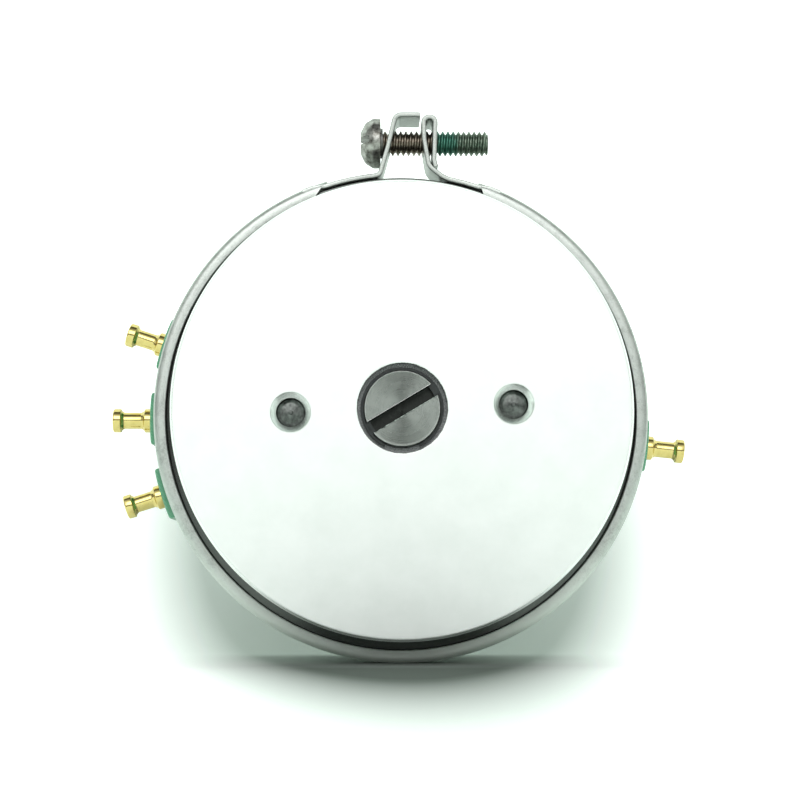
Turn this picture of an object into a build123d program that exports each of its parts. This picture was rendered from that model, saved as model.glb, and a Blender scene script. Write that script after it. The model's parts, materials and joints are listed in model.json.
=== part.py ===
from build123d import *
import math
import os

# Servo-mount precision rotary potentiometer, with a channel clamp band round its rear joint.
#
# Frame: the shaft lies along Y. The mounting face is at Y = 0, the body goes to -Y, so that
# the rear cover looks towards -Y, and the shaft stands out towards +Y. +Z points at the
# clamp's ears. A depth is measured from the mounting face towards the rear, so Y = -depth.
# An angle is measured from +X towards +Z, as it is seen from behind the rear cover.

# ---- Driving dimensions (mm) ----

# Body
BODY_R = 19.05
BODY_LENGTH = 24.0
WALL = 1.2
LID_DEPTH = 6.0
MOUNTING_FACE = 3.175
PILOT_HEIGHT = 1.6
PILOT_CHAMFER = 0.25
SERVO_FLANGE = 1.6
SERVO_GROOVE_DEPTH = 1.45
SERVO_GROOVE_WIDTH = 1.6
LID_SHOULDER = 1.425
SPIGOT_LENGTH = 2.4
SPIGOT_WALL = 1.4
TAPPED_PCD = 22.2
TAPPED_COUNT = 4
TAPPED_R = 1.1
TAPPED_DEPTH = 3.0
TAPPED_ANGLE = 45.0

# Rear cover
COVER_FACE = 1.5
COVER_CHAMFER = 0.22
COVER_SPIGOT = 1.2
SHAFT_WINDOW_GAP = 0.555
PIN_EDGE = 1.22
PIN_ANGLE = 2.2
PIN_HOLE_R = 1.2
PIN_SINK_R = 1.68
PIN_RECESS = 0.55
PIN_DOME = 0.35
PIN_NIB_R = 0.14

# Clamped joint and its band
JOINT_FROM_REAR = 6.65
FLANGE_HEIGHT = 1.2
FLANGE_THICKNESS = 1.62
BAND_SHEET = 0.4
BAND_SIDE_GAP = 0.03
BAND_ROOF_GAP = 0.27
STRIP_INSET = 0.06
LIP_REACH = 0.42
CHANNEL_CORNER = 0.55
CHANNEL_END_LEFT = 110.0
CHANNEL_END_RIGHT = 70.0
TAIL_OVERLAP = 2.0
TAIL_LIFT_LEFT = 10.0
TAIL_LIFT_RIGHT = 9.0
EAR_FOOT_LEFT_X = -1.83
EAR_TOP_LEFT_X = -0.42
EAR_TAB_END_X = 1.62
EAR_FOOT_RIGHT_X = 2.2
EAR_TOP_RIGHT_X = 1.92
EAR_FOLD_X = 2.95
EAR_FOLD_LEAN = 0.1
EAR_ABOVE_SCREW = 2.1
EAR_STEP = 0.15
EAR_HEEL = 0.75
EAR_HEEL_HEIGHT = 0.28
EAR_FOOT_HEIGHT = 1.3
EAR_LEFT_BEND = 0.55
EAR_RIGHT_BEND = 0.45
FOLD_END_HEIGHT = 1.2

# Clamp screw, 2-56 size
SCREW_R = 1.09
SCREW_HEIGHT = 3.35
SCREW_HEAD_R = 2.15
SCREW_HEAD_HEIGHT = 1.72
SCREW_HEAD_EDGE = 0.55
SCREW_HEAD_FLAT_R = 0.97
SCREW_HEAD_DOME_R = 1.8
SCREW_HEAD_X = -1.78
SCREW_END_X = 7.5
SCREW_END_CHAMFER = 0.15
SCREW_SLOT = 0.55
SCREW_SLOT_DEPTH = 0.75
WASHER_RIM = 0.13
WASHER_THICKNESS = 0.18

# Terminals
TERMINAL_ANGLES = (162.3, 180.0, 197.7, -6.1)
TERMINAL_SETBACK = 5.85
PAD_HEIGHT = 2.75
PAD_HALF_ANGLE = 6.0
PAD_LENGTH = 5.0
PAD_SPIGOT_R = 1.6
TERMINAL_COLLAR_R = 1.05
TERMINAL_COLLAR = 0.7
TERMINAL_NECK_R = 0.75
TERMINAL_NECK = 1.95
TERMINAL_HEAD = 0.75
TERMINAL_EDGE = 0.09
TERMINAL_TAIL = 0.95

# Shaft
SHAFT_R = 3.175
SHAFT_EXTENSION = 12.7
SHAFT_RECESS = 0.45
SHAFT_CHAMFER = 0.4
SHAFT_REAR_CHAMFER = 0.07
SHAFT_SLOT = 1.08
SHAFT_SLOT_DEPTH = 1.1
SHAFT_SLOT_ANGLE = 30.9
RING_THICKNESS = 0.635
RING_REACH = 1.175
RING_GROOVE = 0.35
RING_GAP_ANGLE = 50.0
REAR_RING_REACH = 0.26
HUB_SCREW_BITE = 0.2

# Ball bearings, 6.35 x 12.7 x 3.175
BEARING_R = 6.35
BEARING_WIDTH = 3.175
BEARING_RECESS = 0.15
RACE_FLOOR = 0.79375
BALL_COUNT = 9
RACE_CLEARANCE = 0.045
RACE_WALL = 0.8
CAGE_WALL = 0.55
CAGE_WIDTH = 1.9
SHIELD = 0.2
SHIELD_STEP = 0.25
SEAT_WALL = 1.25
PRELOAD_WASHER = 0.25

# Resistance element
ELEMENT_BASE_WALL = 2.8
ELEMENT_BASE_LENGTH = 3.1
ELEMENT_SETBACK = 0.25
WINDING_R = 0.8
ELEMENT_GAP_HALF = 1.45
CONTACT_SHEET = 0.35
CONTACT_WIDTH = 2.6
CONTACT_LIP = 0.9
LEAD_R = 0.25
LEAD_BEND = 0.3
LEAD_SETBACK = 0.7

# Rotor
HUB_WALL = 1.825
HUB_LENGTH = 7.2
HUB_TO_BEARING = 1.325
HUB_SCREW_R = 0.6
HUB_SCREW_ANGLE = 250.0
HUB_SCREW_SETBACK = 1.4
SLIP_RING_WALL = 0.6
SLIP_RING_WIDTH = 1.2
SLIP_RING_SETBACK = 0.8
WIPER_ANGLE = 300.0
WIPER_WIDTH = 1.6
WIPER_SHEET = 0.4
WIPER_COLLAR_WALL = 0.8
WIPER_COLLAR_WIDTH = 1.4
BRUSH_R = 0.3
BRUSH_LENGTH = 1.0
SPACER_WALL = 1.0

# Slip-ring pick-up
BLOCK_SEAT_GAP = 0.33
BLOCK_WIDTH = 3.25
BLOCK_THICKNESS = 2.8
BLOCK_OVERHANG_ANGLE = 12.0
PICKUP_SHEET = 0.25
PICKUP_WIDTH = 1.2
PICKUP_EDGE = 0.75

# Lid screws
LID_SCREW_ANGLES = (90.0, 210.0, 330.0)
LID_SCREW_R = 0.6
LID_SCREW_HEAD_R = 1.05
LID_SCREW_HEAD = 0.5
LID_SCREW_GRIP = 1.1
LID_SCREW_SLOT = 0.28

# Clearances
FIT = 0.02
RUNNING = 0.04
GAP = 0.05
PIN_CLEARANCE = 0.04
BAND_CLEARANCE = 0.04
SCREW_CLEARANCE = 0.08

# ---- Places worked out from the driving dimensions ----

REAR = BODY_LENGTH
BORE_R = BODY_R - WALL
PILOT_R = BODY_R - MOUNTING_FACE
SERVO_GROOVE_R = BODY_R - SERVO_GROOVE_DEPTH
SPIGOT_R = BORE_R - FIT
COVER_INSIDE = REAR - COVER_FACE
JOINT = REAR - JOINT_FROM_REAR
FLANGE_R = BODY_R + FLANGE_HEIGHT
BAND_WIDTH = 2 * (FLANGE_THICKNESS + BAND_SHEET + BAND_SIDE_GAP)
CHANNEL_R = FLANGE_R + BAND_ROOF_GAP + BAND_SHEET
LIP_R = FLANGE_R - LIP_REACH
BAND_REAR = JOINT + BAND_WIDTH / 2
BAND_FRONT = JOINT - BAND_WIDTH / 2
SCREW_Z = FLANGE_R + SCREW_HEIGHT
SCREW_HOLE_R = SCREW_R + SCREW_CLEARANCE
WASHER_R = SCREW_HOLE_R + WASHER_RIM
TAIL_R = FLANGE_R + BAND_CLEARANCE + BAND_SHEET / 2
BALL_PITCH_R = (SHAFT_R + BEARING_R) / 2
BALL_R = (BEARING_R - SHAFT_R) / 2 - RACE_FLOOR
RACE_R = BALL_R + RACE_CLEARANCE
OUTER_RACE_R = BEARING_R - RACE_WALL
INNER_RACE_R = SHAFT_R + RACE_WALL
FRONT_BEARING = -PILOT_HEIGHT + BEARING_RECESS
REAR_BEARING = COVER_INSIDE - BEARING_WIDTH
LID_WEB = FRONT_BEARING + BEARING_WIDTH + PRELOAD_WASHER + LID_SHOULDER
SEAT_R = BEARING_R + FIT
SHOULDER_R = OUTER_RACE_R - 2 * FIT
SHAFT_FRONT = -PILOT_HEIGHT - SHAFT_EXTENSION
SHAFT_REAR = REAR - SHAFT_RECESS
SHAFT_WINDOW_R = SHAFT_R + SHAFT_WINDOW_GAP
RING_GROOVE_R = SHAFT_R - RING_GROOVE
FRONT_RING = FRONT_BEARING - RING_THICKNESS - GAP
REAR_RING = REAR_BEARING + BEARING_WIDTH + GAP
PAD_R = BODY_R + PAD_HEIGHT
TERMINAL_DEPTH = JOINT - TERMINAL_SETBACK
TERMINAL_TAIL_R = BORE_R - TERMINAL_TAIL
LEAD_LINE_R = TERMINAL_TAIL_R - LEAD_SETBACK
ELEMENT_DEPTH = JOINT - COVER_SPIGOT - ELEMENT_SETBACK - ELEMENT_BASE_LENGTH / 2
ELEMENT_BASE_R = BORE_R - GAP
ELEMENT_BASE_INNER_R = ELEMENT_BASE_R - ELEMENT_BASE_WALL
ELEMENT_BASE_FRONT = ELEMENT_DEPTH - ELEMENT_BASE_LENGTH / 2
WINDING_PITCH_R = ELEMENT_BASE_INNER_R
HUB_R = SHAFT_R + HUB_WALL
HUB_REAR = REAR_BEARING - HUB_TO_BEARING
HUB_FRONT = HUB_REAR - HUB_LENGTH
HUB_SCREW_DEPTH = HUB_FRONT + HUB_SCREW_SETBACK
SLIP_RING_DEPTH = HUB_REAR - SLIP_RING_SETBACK
SLIP_RING_R = HUB_R + FIT + SLIP_RING_WALL
BLOCK_REAR = COVER_INSIDE - GAP
BLOCK_INNER_R = SEAT_R + SEAT_WALL + BLOCK_SEAT_GAP
BLOCK_OUTER_R = BLOCK_INNER_R + BLOCK_WIDTH
PIN_CIRCLE_R = BLOCK_INNER_R + PIN_EDGE
PICKUP_R = BLOCK_INNER_R + PICKUP_EDGE
LID_SCREW_DEPTH = LID_DEPTH + SPIGOT_LENGTH / 2
LID_SCREW_LENGTH = WALL + LID_SCREW_GRIP
GAP_ANGLE = 180.0


def radial_plane(angle, depth=0.0):
    """Local X runs to the rear and local Y runs outwards from the shaft's axis at the angle."""
    a = math.radians(angle)
    return Plane(origin=(0, -depth, 0), x_dir=(0, -1, 0), z_dir=(-math.sin(a), 0, math.cos(a)))


def face_plane(depth):
    """Local X and Y are the frame's X and Z, seen from the rear, at the depth."""
    return Plane.XZ.offset(depth)


def outward_plane(angle, depth, radius):
    """Normal points outwards at the angle, and local Y runs to the rear."""
    a = math.radians(angle)
    origin = (radius * math.cos(a), -depth, radius * math.sin(a))
    return Plane(origin=origin, x_dir=(math.sin(a), 0, -math.cos(a)), z_dir=(math.cos(a), 0, math.sin(a)))


def ring(inner, outer, front, rear):
    """Rectangle of a ring's section, on a radial plane."""
    with BuildSketch(radial_plane(90)) as section:
        with Locations(((front + rear) / 2, (inner + outer) / 2)):
            Rectangle(rear - front, outer - inner)
    return section.sketch


def place(radius, angle, depth):
    """Point at a radius, an angle and a depth."""
    a = math.radians(angle)
    return (radius * math.cos(a), -depth, radius * math.sin(a))


def save(piece, name):
    piece.part.label = name
    export_step(piece.part, f"parts/{name}.step")


os.makedirs("parts", exist_ok=True)

# ---- Front lid: servo flange and groove, pilot, bearing seat, tapped holes ----

with BuildPart() as front_lid:
    with BuildSketch(radial_plane(90)) as section:
        with BuildLine() as outline:
            Polyline(
                (-PILOT_HEIGHT, SEAT_R),
                (-PILOT_HEIGHT, PILOT_R),
                (0, PILOT_R),
                (0, BODY_R),
                (SERVO_FLANGE, BODY_R),
                (SERVO_FLANGE, SERVO_GROOVE_R),
                (SERVO_FLANGE + SERVO_GROOVE_WIDTH, SERVO_GROOVE_R),
                (SERVO_FLANGE + SERVO_GROOVE_WIDTH, BODY_R),
                (LID_DEPTH, BODY_R),
                (LID_DEPTH, SPIGOT_R),
                (LID_DEPTH + SPIGOT_LENGTH, SPIGOT_R),
                (LID_DEPTH + SPIGOT_LENGTH, SPIGOT_R - SPIGOT_WALL),
                (LID_WEB, SPIGOT_R - SPIGOT_WALL),
                (LID_WEB, SHOULDER_R),
                (FRONT_BEARING + BEARING_WIDTH + PRELOAD_WASHER, SHOULDER_R),
                (FRONT_BEARING + BEARING_WIDTH + PRELOAD_WASHER, SEAT_R),
                close=True,
            )
        make_face()
    revolve(axis=Axis.Y)
    with BuildSketch(face_plane(-PILOT_HEIGHT)) as tapped:
        with PolarLocations(TAPPED_PCD / 2, TAPPED_COUNT, start_angle=TAPPED_ANGLE):
            Circle(TAPPED_R)
    extrude(amount=TAPPED_DEPTH, mode=Mode.SUBTRACT)
    for angle in LID_SCREW_ANGLES:
        with BuildSketch(outward_plane(angle, LID_SCREW_DEPTH, 0)) as tapping:
            Circle(LID_SCREW_R + FIT)
        extrude(amount=BODY_R, mode=Mode.SUBTRACT)
    flange_rims = front_lid.edges().filter_by(GeomType.CIRCLE).filter_by(
        lambda edge: abs(edge.radius - BODY_R) < 0.01 or abs(edge.radius - PILOT_R) < 0.01
    )
    chamfer(flange_rims.group_by(Axis.Y)[-1], length=PILOT_CHAMFER)
save(front_lid, "front_lid")

# ---- Housing: tube with a clamp flange at its rear end and four terminal windows ----

with BuildPart() as housing:
    with BuildSketch(radial_plane(90)) as section:
        with BuildLine() as outline:
            Polyline(
                (LID_DEPTH, BORE_R),
                (LID_DEPTH, BODY_R),
                (JOINT - FLANGE_THICKNESS, BODY_R),
                (JOINT - FLANGE_THICKNESS, FLANGE_R),
                (JOINT, FLANGE_R),
                (JOINT, BORE_R),
                close=True,
            )
        make_face()
    revolve(axis=Axis.Y)
    for angle in TERMINAL_ANGLES:
        with BuildSketch(outward_plane(angle, TERMINAL_DEPTH, 0)) as window:
            Circle(PAD_SPIGOT_R + FIT)
        extrude(amount=FLANGE_R, mode=Mode.SUBTRACT)
    for angle in LID_SCREW_ANGLES:
        axis_place = outward_plane(angle, LID_SCREW_DEPTH, BODY_R)
        with BuildSketch(axis_place.offset(-LID_SCREW_HEAD)) as sink:
            Circle(LID_SCREW_R + FIT)
        with BuildSketch(axis_place.offset(LID_SCREW_HEAD)) as sink_mouth:
            Circle(2 * LID_SCREW_HEAD_R - LID_SCREW_R + FIT)
        loft(mode=Mode.SUBTRACT)
        with BuildSketch(outward_plane(angle, LID_SCREW_DEPTH, 0)) as clearance_hole:
            Circle(LID_SCREW_R + FIT)
        extrude(amount=BODY_R, mode=Mode.SUBTRACT)
save(housing, "housing")

# ---- Rear cover: plateau, clamp flange, bearing seat, shaft window, two countersunk holes ----

with BuildPart() as rear_cover:
    with BuildSketch(radial_plane(90)) as section:
        with BuildLine() as outline:
            Polyline(
                (REAR, SHAFT_WINDOW_R),
                (REAR, BODY_R),
                (JOINT + FLANGE_THICKNESS, BODY_R),
                (JOINT + FLANGE_THICKNESS, FLANGE_R),
                (JOINT, FLANGE_R),
                (JOINT, SPIGOT_R),
                (JOINT - COVER_SPIGOT, SPIGOT_R),
                (JOINT - COVER_SPIGOT, SPIGOT_R - WALL),
                (COVER_INSIDE, SPIGOT_R - WALL),
                (COVER_INSIDE, SEAT_R + SEAT_WALL),
                (REAR_BEARING, SEAT_R + SEAT_WALL),
                (REAR_BEARING, SEAT_R),
                (COVER_INSIDE, SEAT_R),
                (COVER_INSIDE, SHAFT_WINDOW_R),
                close=True,
            )
        make_face()
    revolve(axis=Axis.Y)
    rim = rear_cover.edges().filter_by(GeomType.CIRCLE).sort_by(Axis.Y)[:2].sort_by(SortBy.RADIUS)[-1]
    chamfer(rim, length=COVER_CHAMFER)
    for angle in (PIN_ANGLE, PIN_ANGLE + 180):
        centre = place(PIN_CIRCLE_R, angle, REAR)
        with Locations(Plane(origin=centre, x_dir=(1, 0, 0), z_dir=(0, -1, 0))):
            CounterSinkHole(PIN_HOLE_R, PIN_SINK_R, depth=COVER_FACE, counter_sink_angle=90)
save(rear_cover, "rear_cover")

# ---- Cover pins: press-fitted steel pins with a domed end and a small centre nib ----

with BuildPart() as cover_pins:
    for angle in (PIN_ANGLE, PIN_ANGLE + 180):
        centre = place(PIN_CIRCLE_R, angle, 0)
        pin_r = PIN_HOLE_R - PIN_CLEARANCE
        axis_plane = Plane(origin=centre, x_dir=(0, -1, 0), z_dir=(-1, 0, 0))
        with BuildSketch(axis_plane) as section:
            with BuildLine() as outline:
                Polyline(
                    (REAR - PIN_RECESS, 0),
                    (REAR - PIN_RECESS, PIN_NIB_R),
                    (REAR - PIN_RECESS - PIN_NIB_R, PIN_NIB_R),
                    (REAR - PIN_RECESS - PIN_DOME, pin_r),
                    (BLOCK_REAR - BLOCK_THICKNESS, pin_r),
                    (BLOCK_REAR - BLOCK_THICKNESS, 0),
                    close=True,
                )
            make_face()
        revolve(axis=Axis(centre, (0, 1, 0)))
save(cover_pins, "cover_pins")

# ---- Clamp band: channel round the joint, flat tails, a tabbed ear and a folded ear ----

tail_left = place(TAIL_R, CHANNEL_END_LEFT + TAIL_OVERLAP, 0)
tail_right = place(TAIL_R, CHANNEL_END_RIGHT - TAIL_OVERLAP, 0)
lift_left = place(TAIL_R, CHANNEL_END_LEFT - TAIL_LIFT_LEFT, 0)
lift_right = place(TAIL_R, CHANNEL_END_RIGHT + TAIL_LIFT_RIGHT, 0)
tail_middle_left = place(TAIL_R, CHANNEL_END_LEFT - (TAIL_LIFT_LEFT - TAIL_OVERLAP) / 2, 0)
tail_middle_right = place(TAIL_R, CHANNEL_END_RIGHT + (TAIL_LIFT_RIGHT - TAIL_OVERLAP) / 2, 0)
ear_foot_z = math.sqrt(TAIL_R**2 - EAR_FOOT_LEFT_X**2) + GAP
ear_top_z = SCREW_Z + EAR_ABOVE_SCREW
folded_ear_top_z = ear_top_z - EAR_STEP

with BuildPart() as clamp_band:
    with BuildSketch(radial_plane(CHANNEL_END_LEFT)) as section:
        with BuildLine() as outline:
            Polyline(
                (BAND_REAR, LIP_R),
                (BAND_REAR, CHANNEL_R - CHANNEL_CORNER),
                (BAND_REAR - CHANNEL_CORNER, CHANNEL_R),
                (BAND_FRONT + CHANNEL_CORNER, CHANNEL_R),
                (BAND_FRONT, CHANNEL_R - CHANNEL_CORNER),
                (BAND_FRONT, LIP_R),
                (BAND_FRONT + BAND_SHEET, LIP_R),
                (BAND_FRONT + BAND_SHEET, CHANNEL_R - BAND_SHEET - CHANNEL_CORNER / 2),
                (BAND_FRONT + BAND_SHEET + CHANNEL_CORNER / 2, CHANNEL_R - BAND_SHEET),
                (BAND_REAR - BAND_SHEET - CHANNEL_CORNER / 2, CHANNEL_R - BAND_SHEET),
                (BAND_REAR - BAND_SHEET, CHANNEL_R - BAND_SHEET - CHANNEL_CORNER / 2),
                (BAND_REAR - BAND_SHEET, LIP_R),
                close=True,
            )
        make_face()
    revolve(axis=Axis((0, 0, 0), (0, -1, 0)), revolution_arc=360 - CHANNEL_END_LEFT + CHANNEL_END_RIGHT)
    with BuildSketch(face_plane(BAND_FRONT + STRIP_INSET)) as left_strip:
        with BuildLine() as left_tail:
            ThreePointArc(
                (tail_left[0], tail_left[2]),
                (tail_middle_left[0], tail_middle_left[2]),
                (lift_left[0], lift_left[2]),
            )
            FilletPolyline(
                (lift_left[0], lift_left[2]),
                (EAR_FOOT_LEFT_X, ear_foot_z),
                (EAR_TOP_LEFT_X, ear_top_z),
                (EAR_TAB_END_X, ear_top_z),
                radius=EAR_LEFT_BEND,
            )
        trace(line_width=BAND_SHEET)
    extrude(amount=BAND_WIDTH - 2 * STRIP_INSET)
    with BuildSketch(face_plane(BAND_FRONT + STRIP_INSET)) as right_strip:
        with BuildLine() as right_tail:
            ThreePointArc(
                (tail_right[0], tail_right[2]),
                (tail_middle_right[0], tail_middle_right[2]),
                (lift_right[0], lift_right[2]),
            )
            FilletPolyline(
                (lift_right[0], lift_right[2]),
                (EAR_FOOT_RIGHT_X + EAR_HEEL, FLANGE_R + EAR_HEEL_HEIGHT),
                (EAR_FOOT_RIGHT_X, FLANGE_R + EAR_FOOT_HEIGHT),
                (EAR_TOP_RIGHT_X, folded_ear_top_z),
                (EAR_FOLD_X, folded_ear_top_z),
                (EAR_FOLD_X - EAR_FOLD_LEAN, FLANGE_R + FOLD_END_HEIGHT),
                radius=EAR_RIGHT_BEND,
            )
        trace(line_width=BAND_SHEET)
    extrude(amount=BAND_WIDTH - 2 * STRIP_INSET)
    with BuildSketch(Plane(origin=(SCREW_HEAD_X, -JOINT, SCREW_Z), z_dir=(1, 0, 0))) as screw_path:
        Circle(SCREW_HOLE_R)
    extrude(amount=SCREW_END_X - SCREW_HEAD_X, mode=Mode.SUBTRACT)
save(clamp_band, "clamp_band")

# ---- Clamp screw and its washer ----

head_front = SCREW_HEAD_X - SCREW_HEAD_HEIGHT

with BuildPart() as clamp_screw:
    with BuildSketch(Plane(origin=(0, -JOINT, SCREW_Z), x_dir=(1, 0, 0), z_dir=(0, -1, 0))) as section:
        with BuildLine() as outline:
            crown = Line((head_front, 0), (head_front, SCREW_HEAD_FLAT_R))
            dome = RadiusArc(crown @ 1, (SCREW_HEAD_X - SCREW_HEAD_EDGE, SCREW_HEAD_R), SCREW_HEAD_DOME_R)
            Polyline(
                dome @ 1,
                (SCREW_HEAD_X, SCREW_HEAD_R),
                (SCREW_HEAD_X, SCREW_R),
                (SCREW_END_X - SCREW_END_CHAMFER, SCREW_R),
                (SCREW_END_X, SCREW_R - SCREW_END_CHAMFER),
                (SCREW_END_X, 0),
                (head_front, 0),
            )
        make_face()
    revolve(axis=Axis((0, -JOINT, SCREW_Z), (1, 0, 0)))
    slot_plane = Plane(origin=(head_front, -JOINT, SCREW_Z), x_dir=(0, 0, 1), z_dir=(1, 0, 0))
    with BuildSketch(slot_plane) as slot:
        Rectangle(SCREW_SLOT, 3 * SCREW_HEAD_R)
    extrude(amount=SCREW_SLOT_DEPTH, mode=Mode.SUBTRACT)
save(clamp_screw, "clamp_screw")

with BuildPart() as screw_washer:
    with BuildSketch(Plane(origin=(SCREW_HEAD_X + FIT, -JOINT, SCREW_Z), z_dir=(1, 0, 0))) as disc:
        Circle(WASHER_R)
        Circle(SCREW_HOLE_R, mode=Mode.SUBTRACT)
    extrude(amount=WASHER_THICKNESS)
save(screw_washer, "screw_washer")

# ---- Terminal pads and turret terminals ----

for number, angle in enumerate(TERMINAL_ANGLES, start=1):
    with BuildPart() as pad:
        with BuildSketch(face_plane(TERMINAL_DEPTH - PAD_LENGTH / 2)) as block:
            low = angle - PAD_HALF_ANGLE
            high = angle + PAD_HALF_ANGLE
            with BuildLine() as outline:
                outer = CenterArc((0, 0), PAD_R, low, 2 * PAD_HALF_ANGLE)
                inner = CenterArc((0, 0), BODY_R + FIT, low, 2 * PAD_HALF_ANGLE)
                Line(outer @ 0, inner @ 0)
                Line(outer @ 1, inner @ 1)
            make_face()
        extrude(amount=PAD_LENGTH)
        with BuildSketch(outward_plane(angle, TERMINAL_DEPTH, BORE_R + FIT)) as spigot:
            Circle(PAD_SPIGOT_R)
        extrude(amount=WALL + PAD_HEIGHT / 2)
        with BuildSketch(outward_plane(angle, TERMINAL_DEPTH, 0)) as shank_hole:
            Circle(TERMINAL_NECK_R + FIT)
        extrude(amount=2 * PAD_R, mode=Mode.SUBTRACT)
    save(pad, f"terminal_pad_{number}")

    collar_r = PAD_R + FIT
    neck_start = collar_r + TERMINAL_COLLAR
    head_start = neck_start + TERMINAL_NECK
    tip = head_start + TERMINAL_HEAD
    with BuildPart() as terminal:
        with BuildSketch(radial_plane(angle, TERMINAL_DEPTH)) as section:
            with BuildLine() as outline:
                Polyline(
                    (0, TERMINAL_TAIL_R),
                    (TERMINAL_NECK_R, TERMINAL_TAIL_R),
                    (TERMINAL_NECK_R, collar_r),
                    (TERMINAL_COLLAR_R, collar_r),
                    (TERMINAL_COLLAR_R, neck_start - TERMINAL_EDGE),
                    (TERMINAL_COLLAR_R - TERMINAL_EDGE, neck_start),
                    (TERMINAL_NECK_R, neck_start),
                    (TERMINAL_NECK_R, head_start),
                    (TERMINAL_COLLAR_R - TERMINAL_EDGE, head_start),
                    (TERMINAL_COLLAR_R, head_start + TERMINAL_EDGE),
                    (TERMINAL_COLLAR_R, tip - TERMINAL_EDGE),
                    (TERMINAL_COLLAR_R - TERMINAL_EDGE, tip),
                    (0, tip),
                    close=True,
                )
            make_face()
        axis_point = (0, -TERMINAL_DEPTH, 0)
        revolve(axis=Axis(axis_point, place(1, angle, 0)))
    save(terminal, f"turret_terminal_{number}")

# ---- Lid screws: three countersunk screws through the housing into the lid's spigot ----

with BuildPart() as lid_screws:
    for angle in LID_SCREW_ANGLES:
        with BuildSketch(radial_plane(angle, LID_SCREW_DEPTH)) as section:
            with BuildLine() as outline:
                Polyline(
                    (0, BODY_R - LID_SCREW_LENGTH),
                    (LID_SCREW_R, BODY_R - LID_SCREW_LENGTH),
                    (LID_SCREW_R, BODY_R - LID_SCREW_HEAD),
                    (LID_SCREW_HEAD_R - 2 * FIT, BODY_R - 2 * FIT),
                    (0, BODY_R - 2 * FIT),
                    close=True,
                )
            make_face()
        revolve(axis=Axis((0, -LID_SCREW_DEPTH, 0), place(1, angle, 0)))
        with BuildSketch(outward_plane(angle, LID_SCREW_DEPTH, BODY_R - LID_SCREW_HEAD / 2)) as slot:
            Rectangle(LID_SCREW_SLOT, 3 * LID_SCREW_HEAD_R, rotation=angle)
        extrude(amount=LID_SCREW_HEAD, mode=Mode.SUBTRACT)
save(lid_screws, "lid_screws")

# ---- Ball bearings: outer ring, inner ring, balls, cage and shield, front and rear ----


def bearing(name, front, shield_at_front):
    """The pieces of one bearing, whose front face is at the depth called front."""
    middle = front + BEARING_WIDTH / 2
    shield_front = front if shield_at_front else front + BEARING_WIDTH - SHIELD_STEP
    with BuildSketch(radial_plane(90)) as race:
        with Locations((middle, BALL_PITCH_R)):
            Circle(RACE_R)

    with BuildPart() as outer_ring:
        with BuildSketch() as section:
            add(ring(OUTER_RACE_R, BEARING_R, front, front + BEARING_WIDTH))
            add(race.sketch, mode=Mode.SUBTRACT)
            add(ring(0, OUTER_RACE_R + SHIELD, shield_front, shield_front + SHIELD_STEP), mode=Mode.SUBTRACT)
        revolve(section.sketch, axis=Axis.Y)
    save(outer_ring, f"{name}_outer_ring")

    with BuildPart() as inner_ring:
        with BuildSketch() as section:
            add(ring(SHAFT_R + FIT, INNER_RACE_R, front, front + BEARING_WIDTH))
            add(race.sketch, mode=Mode.SUBTRACT)
        revolve(section.sketch, axis=Axis.Y)
    save(inner_ring, f"{name}_inner_ring")

    with BuildPart() as balls:
        for index in range(BALL_COUNT):
            with Locations(place(BALL_PITCH_R, 360 * index / BALL_COUNT, middle)):
                Sphere(BALL_R)
    save(balls, f"{name}_balls")

    with BuildPart() as cage:
        cage_rear = middle + CAGE_WIDTH / 2
        cage_front = middle - CAGE_WIDTH / 2
        revolve(
            ring(BALL_PITCH_R - CAGE_WALL / 2, BALL_PITCH_R + CAGE_WALL / 2, cage_front, cage_rear),
            axis=Axis.Y,
        )
        for index in range(BALL_COUNT):
            with BuildSketch(outward_plane(360 * index / BALL_COUNT, middle, 0)) as pocket:
                Circle(BALL_R + RUNNING)
            extrude(amount=BEARING_R, mode=Mode.SUBTRACT)
    save(cage, f"{name}_cage")

    with BuildPart() as shield:
        plate_front = shield_front + FIT
        plate_rear = shield_front + SHIELD_STEP - FIT
        revolve(
            ring(INNER_RACE_R + GAP, OUTER_RACE_R + SHIELD - FIT, plate_front, plate_rear),
            axis=Axis.Y,
        )
    save(shield, f"{name}_shield")


bearing("front_bearing", FRONT_BEARING, True)
bearing("rear_bearing", REAR_BEARING, False)

with BuildPart() as preload_washer:
    washer_front = FRONT_BEARING + BEARING_WIDTH + FIT / 2
    washer_rear = FRONT_BEARING + BEARING_WIDTH + PRELOAD_WASHER - FIT / 2
    revolve(ring(OUTER_RACE_R, BEARING_R, washer_front, washer_rear), axis=Axis.Y)
save(preload_washer, "preload_washer")

# ---- Shaft, retaining rings and spacers ----

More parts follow.
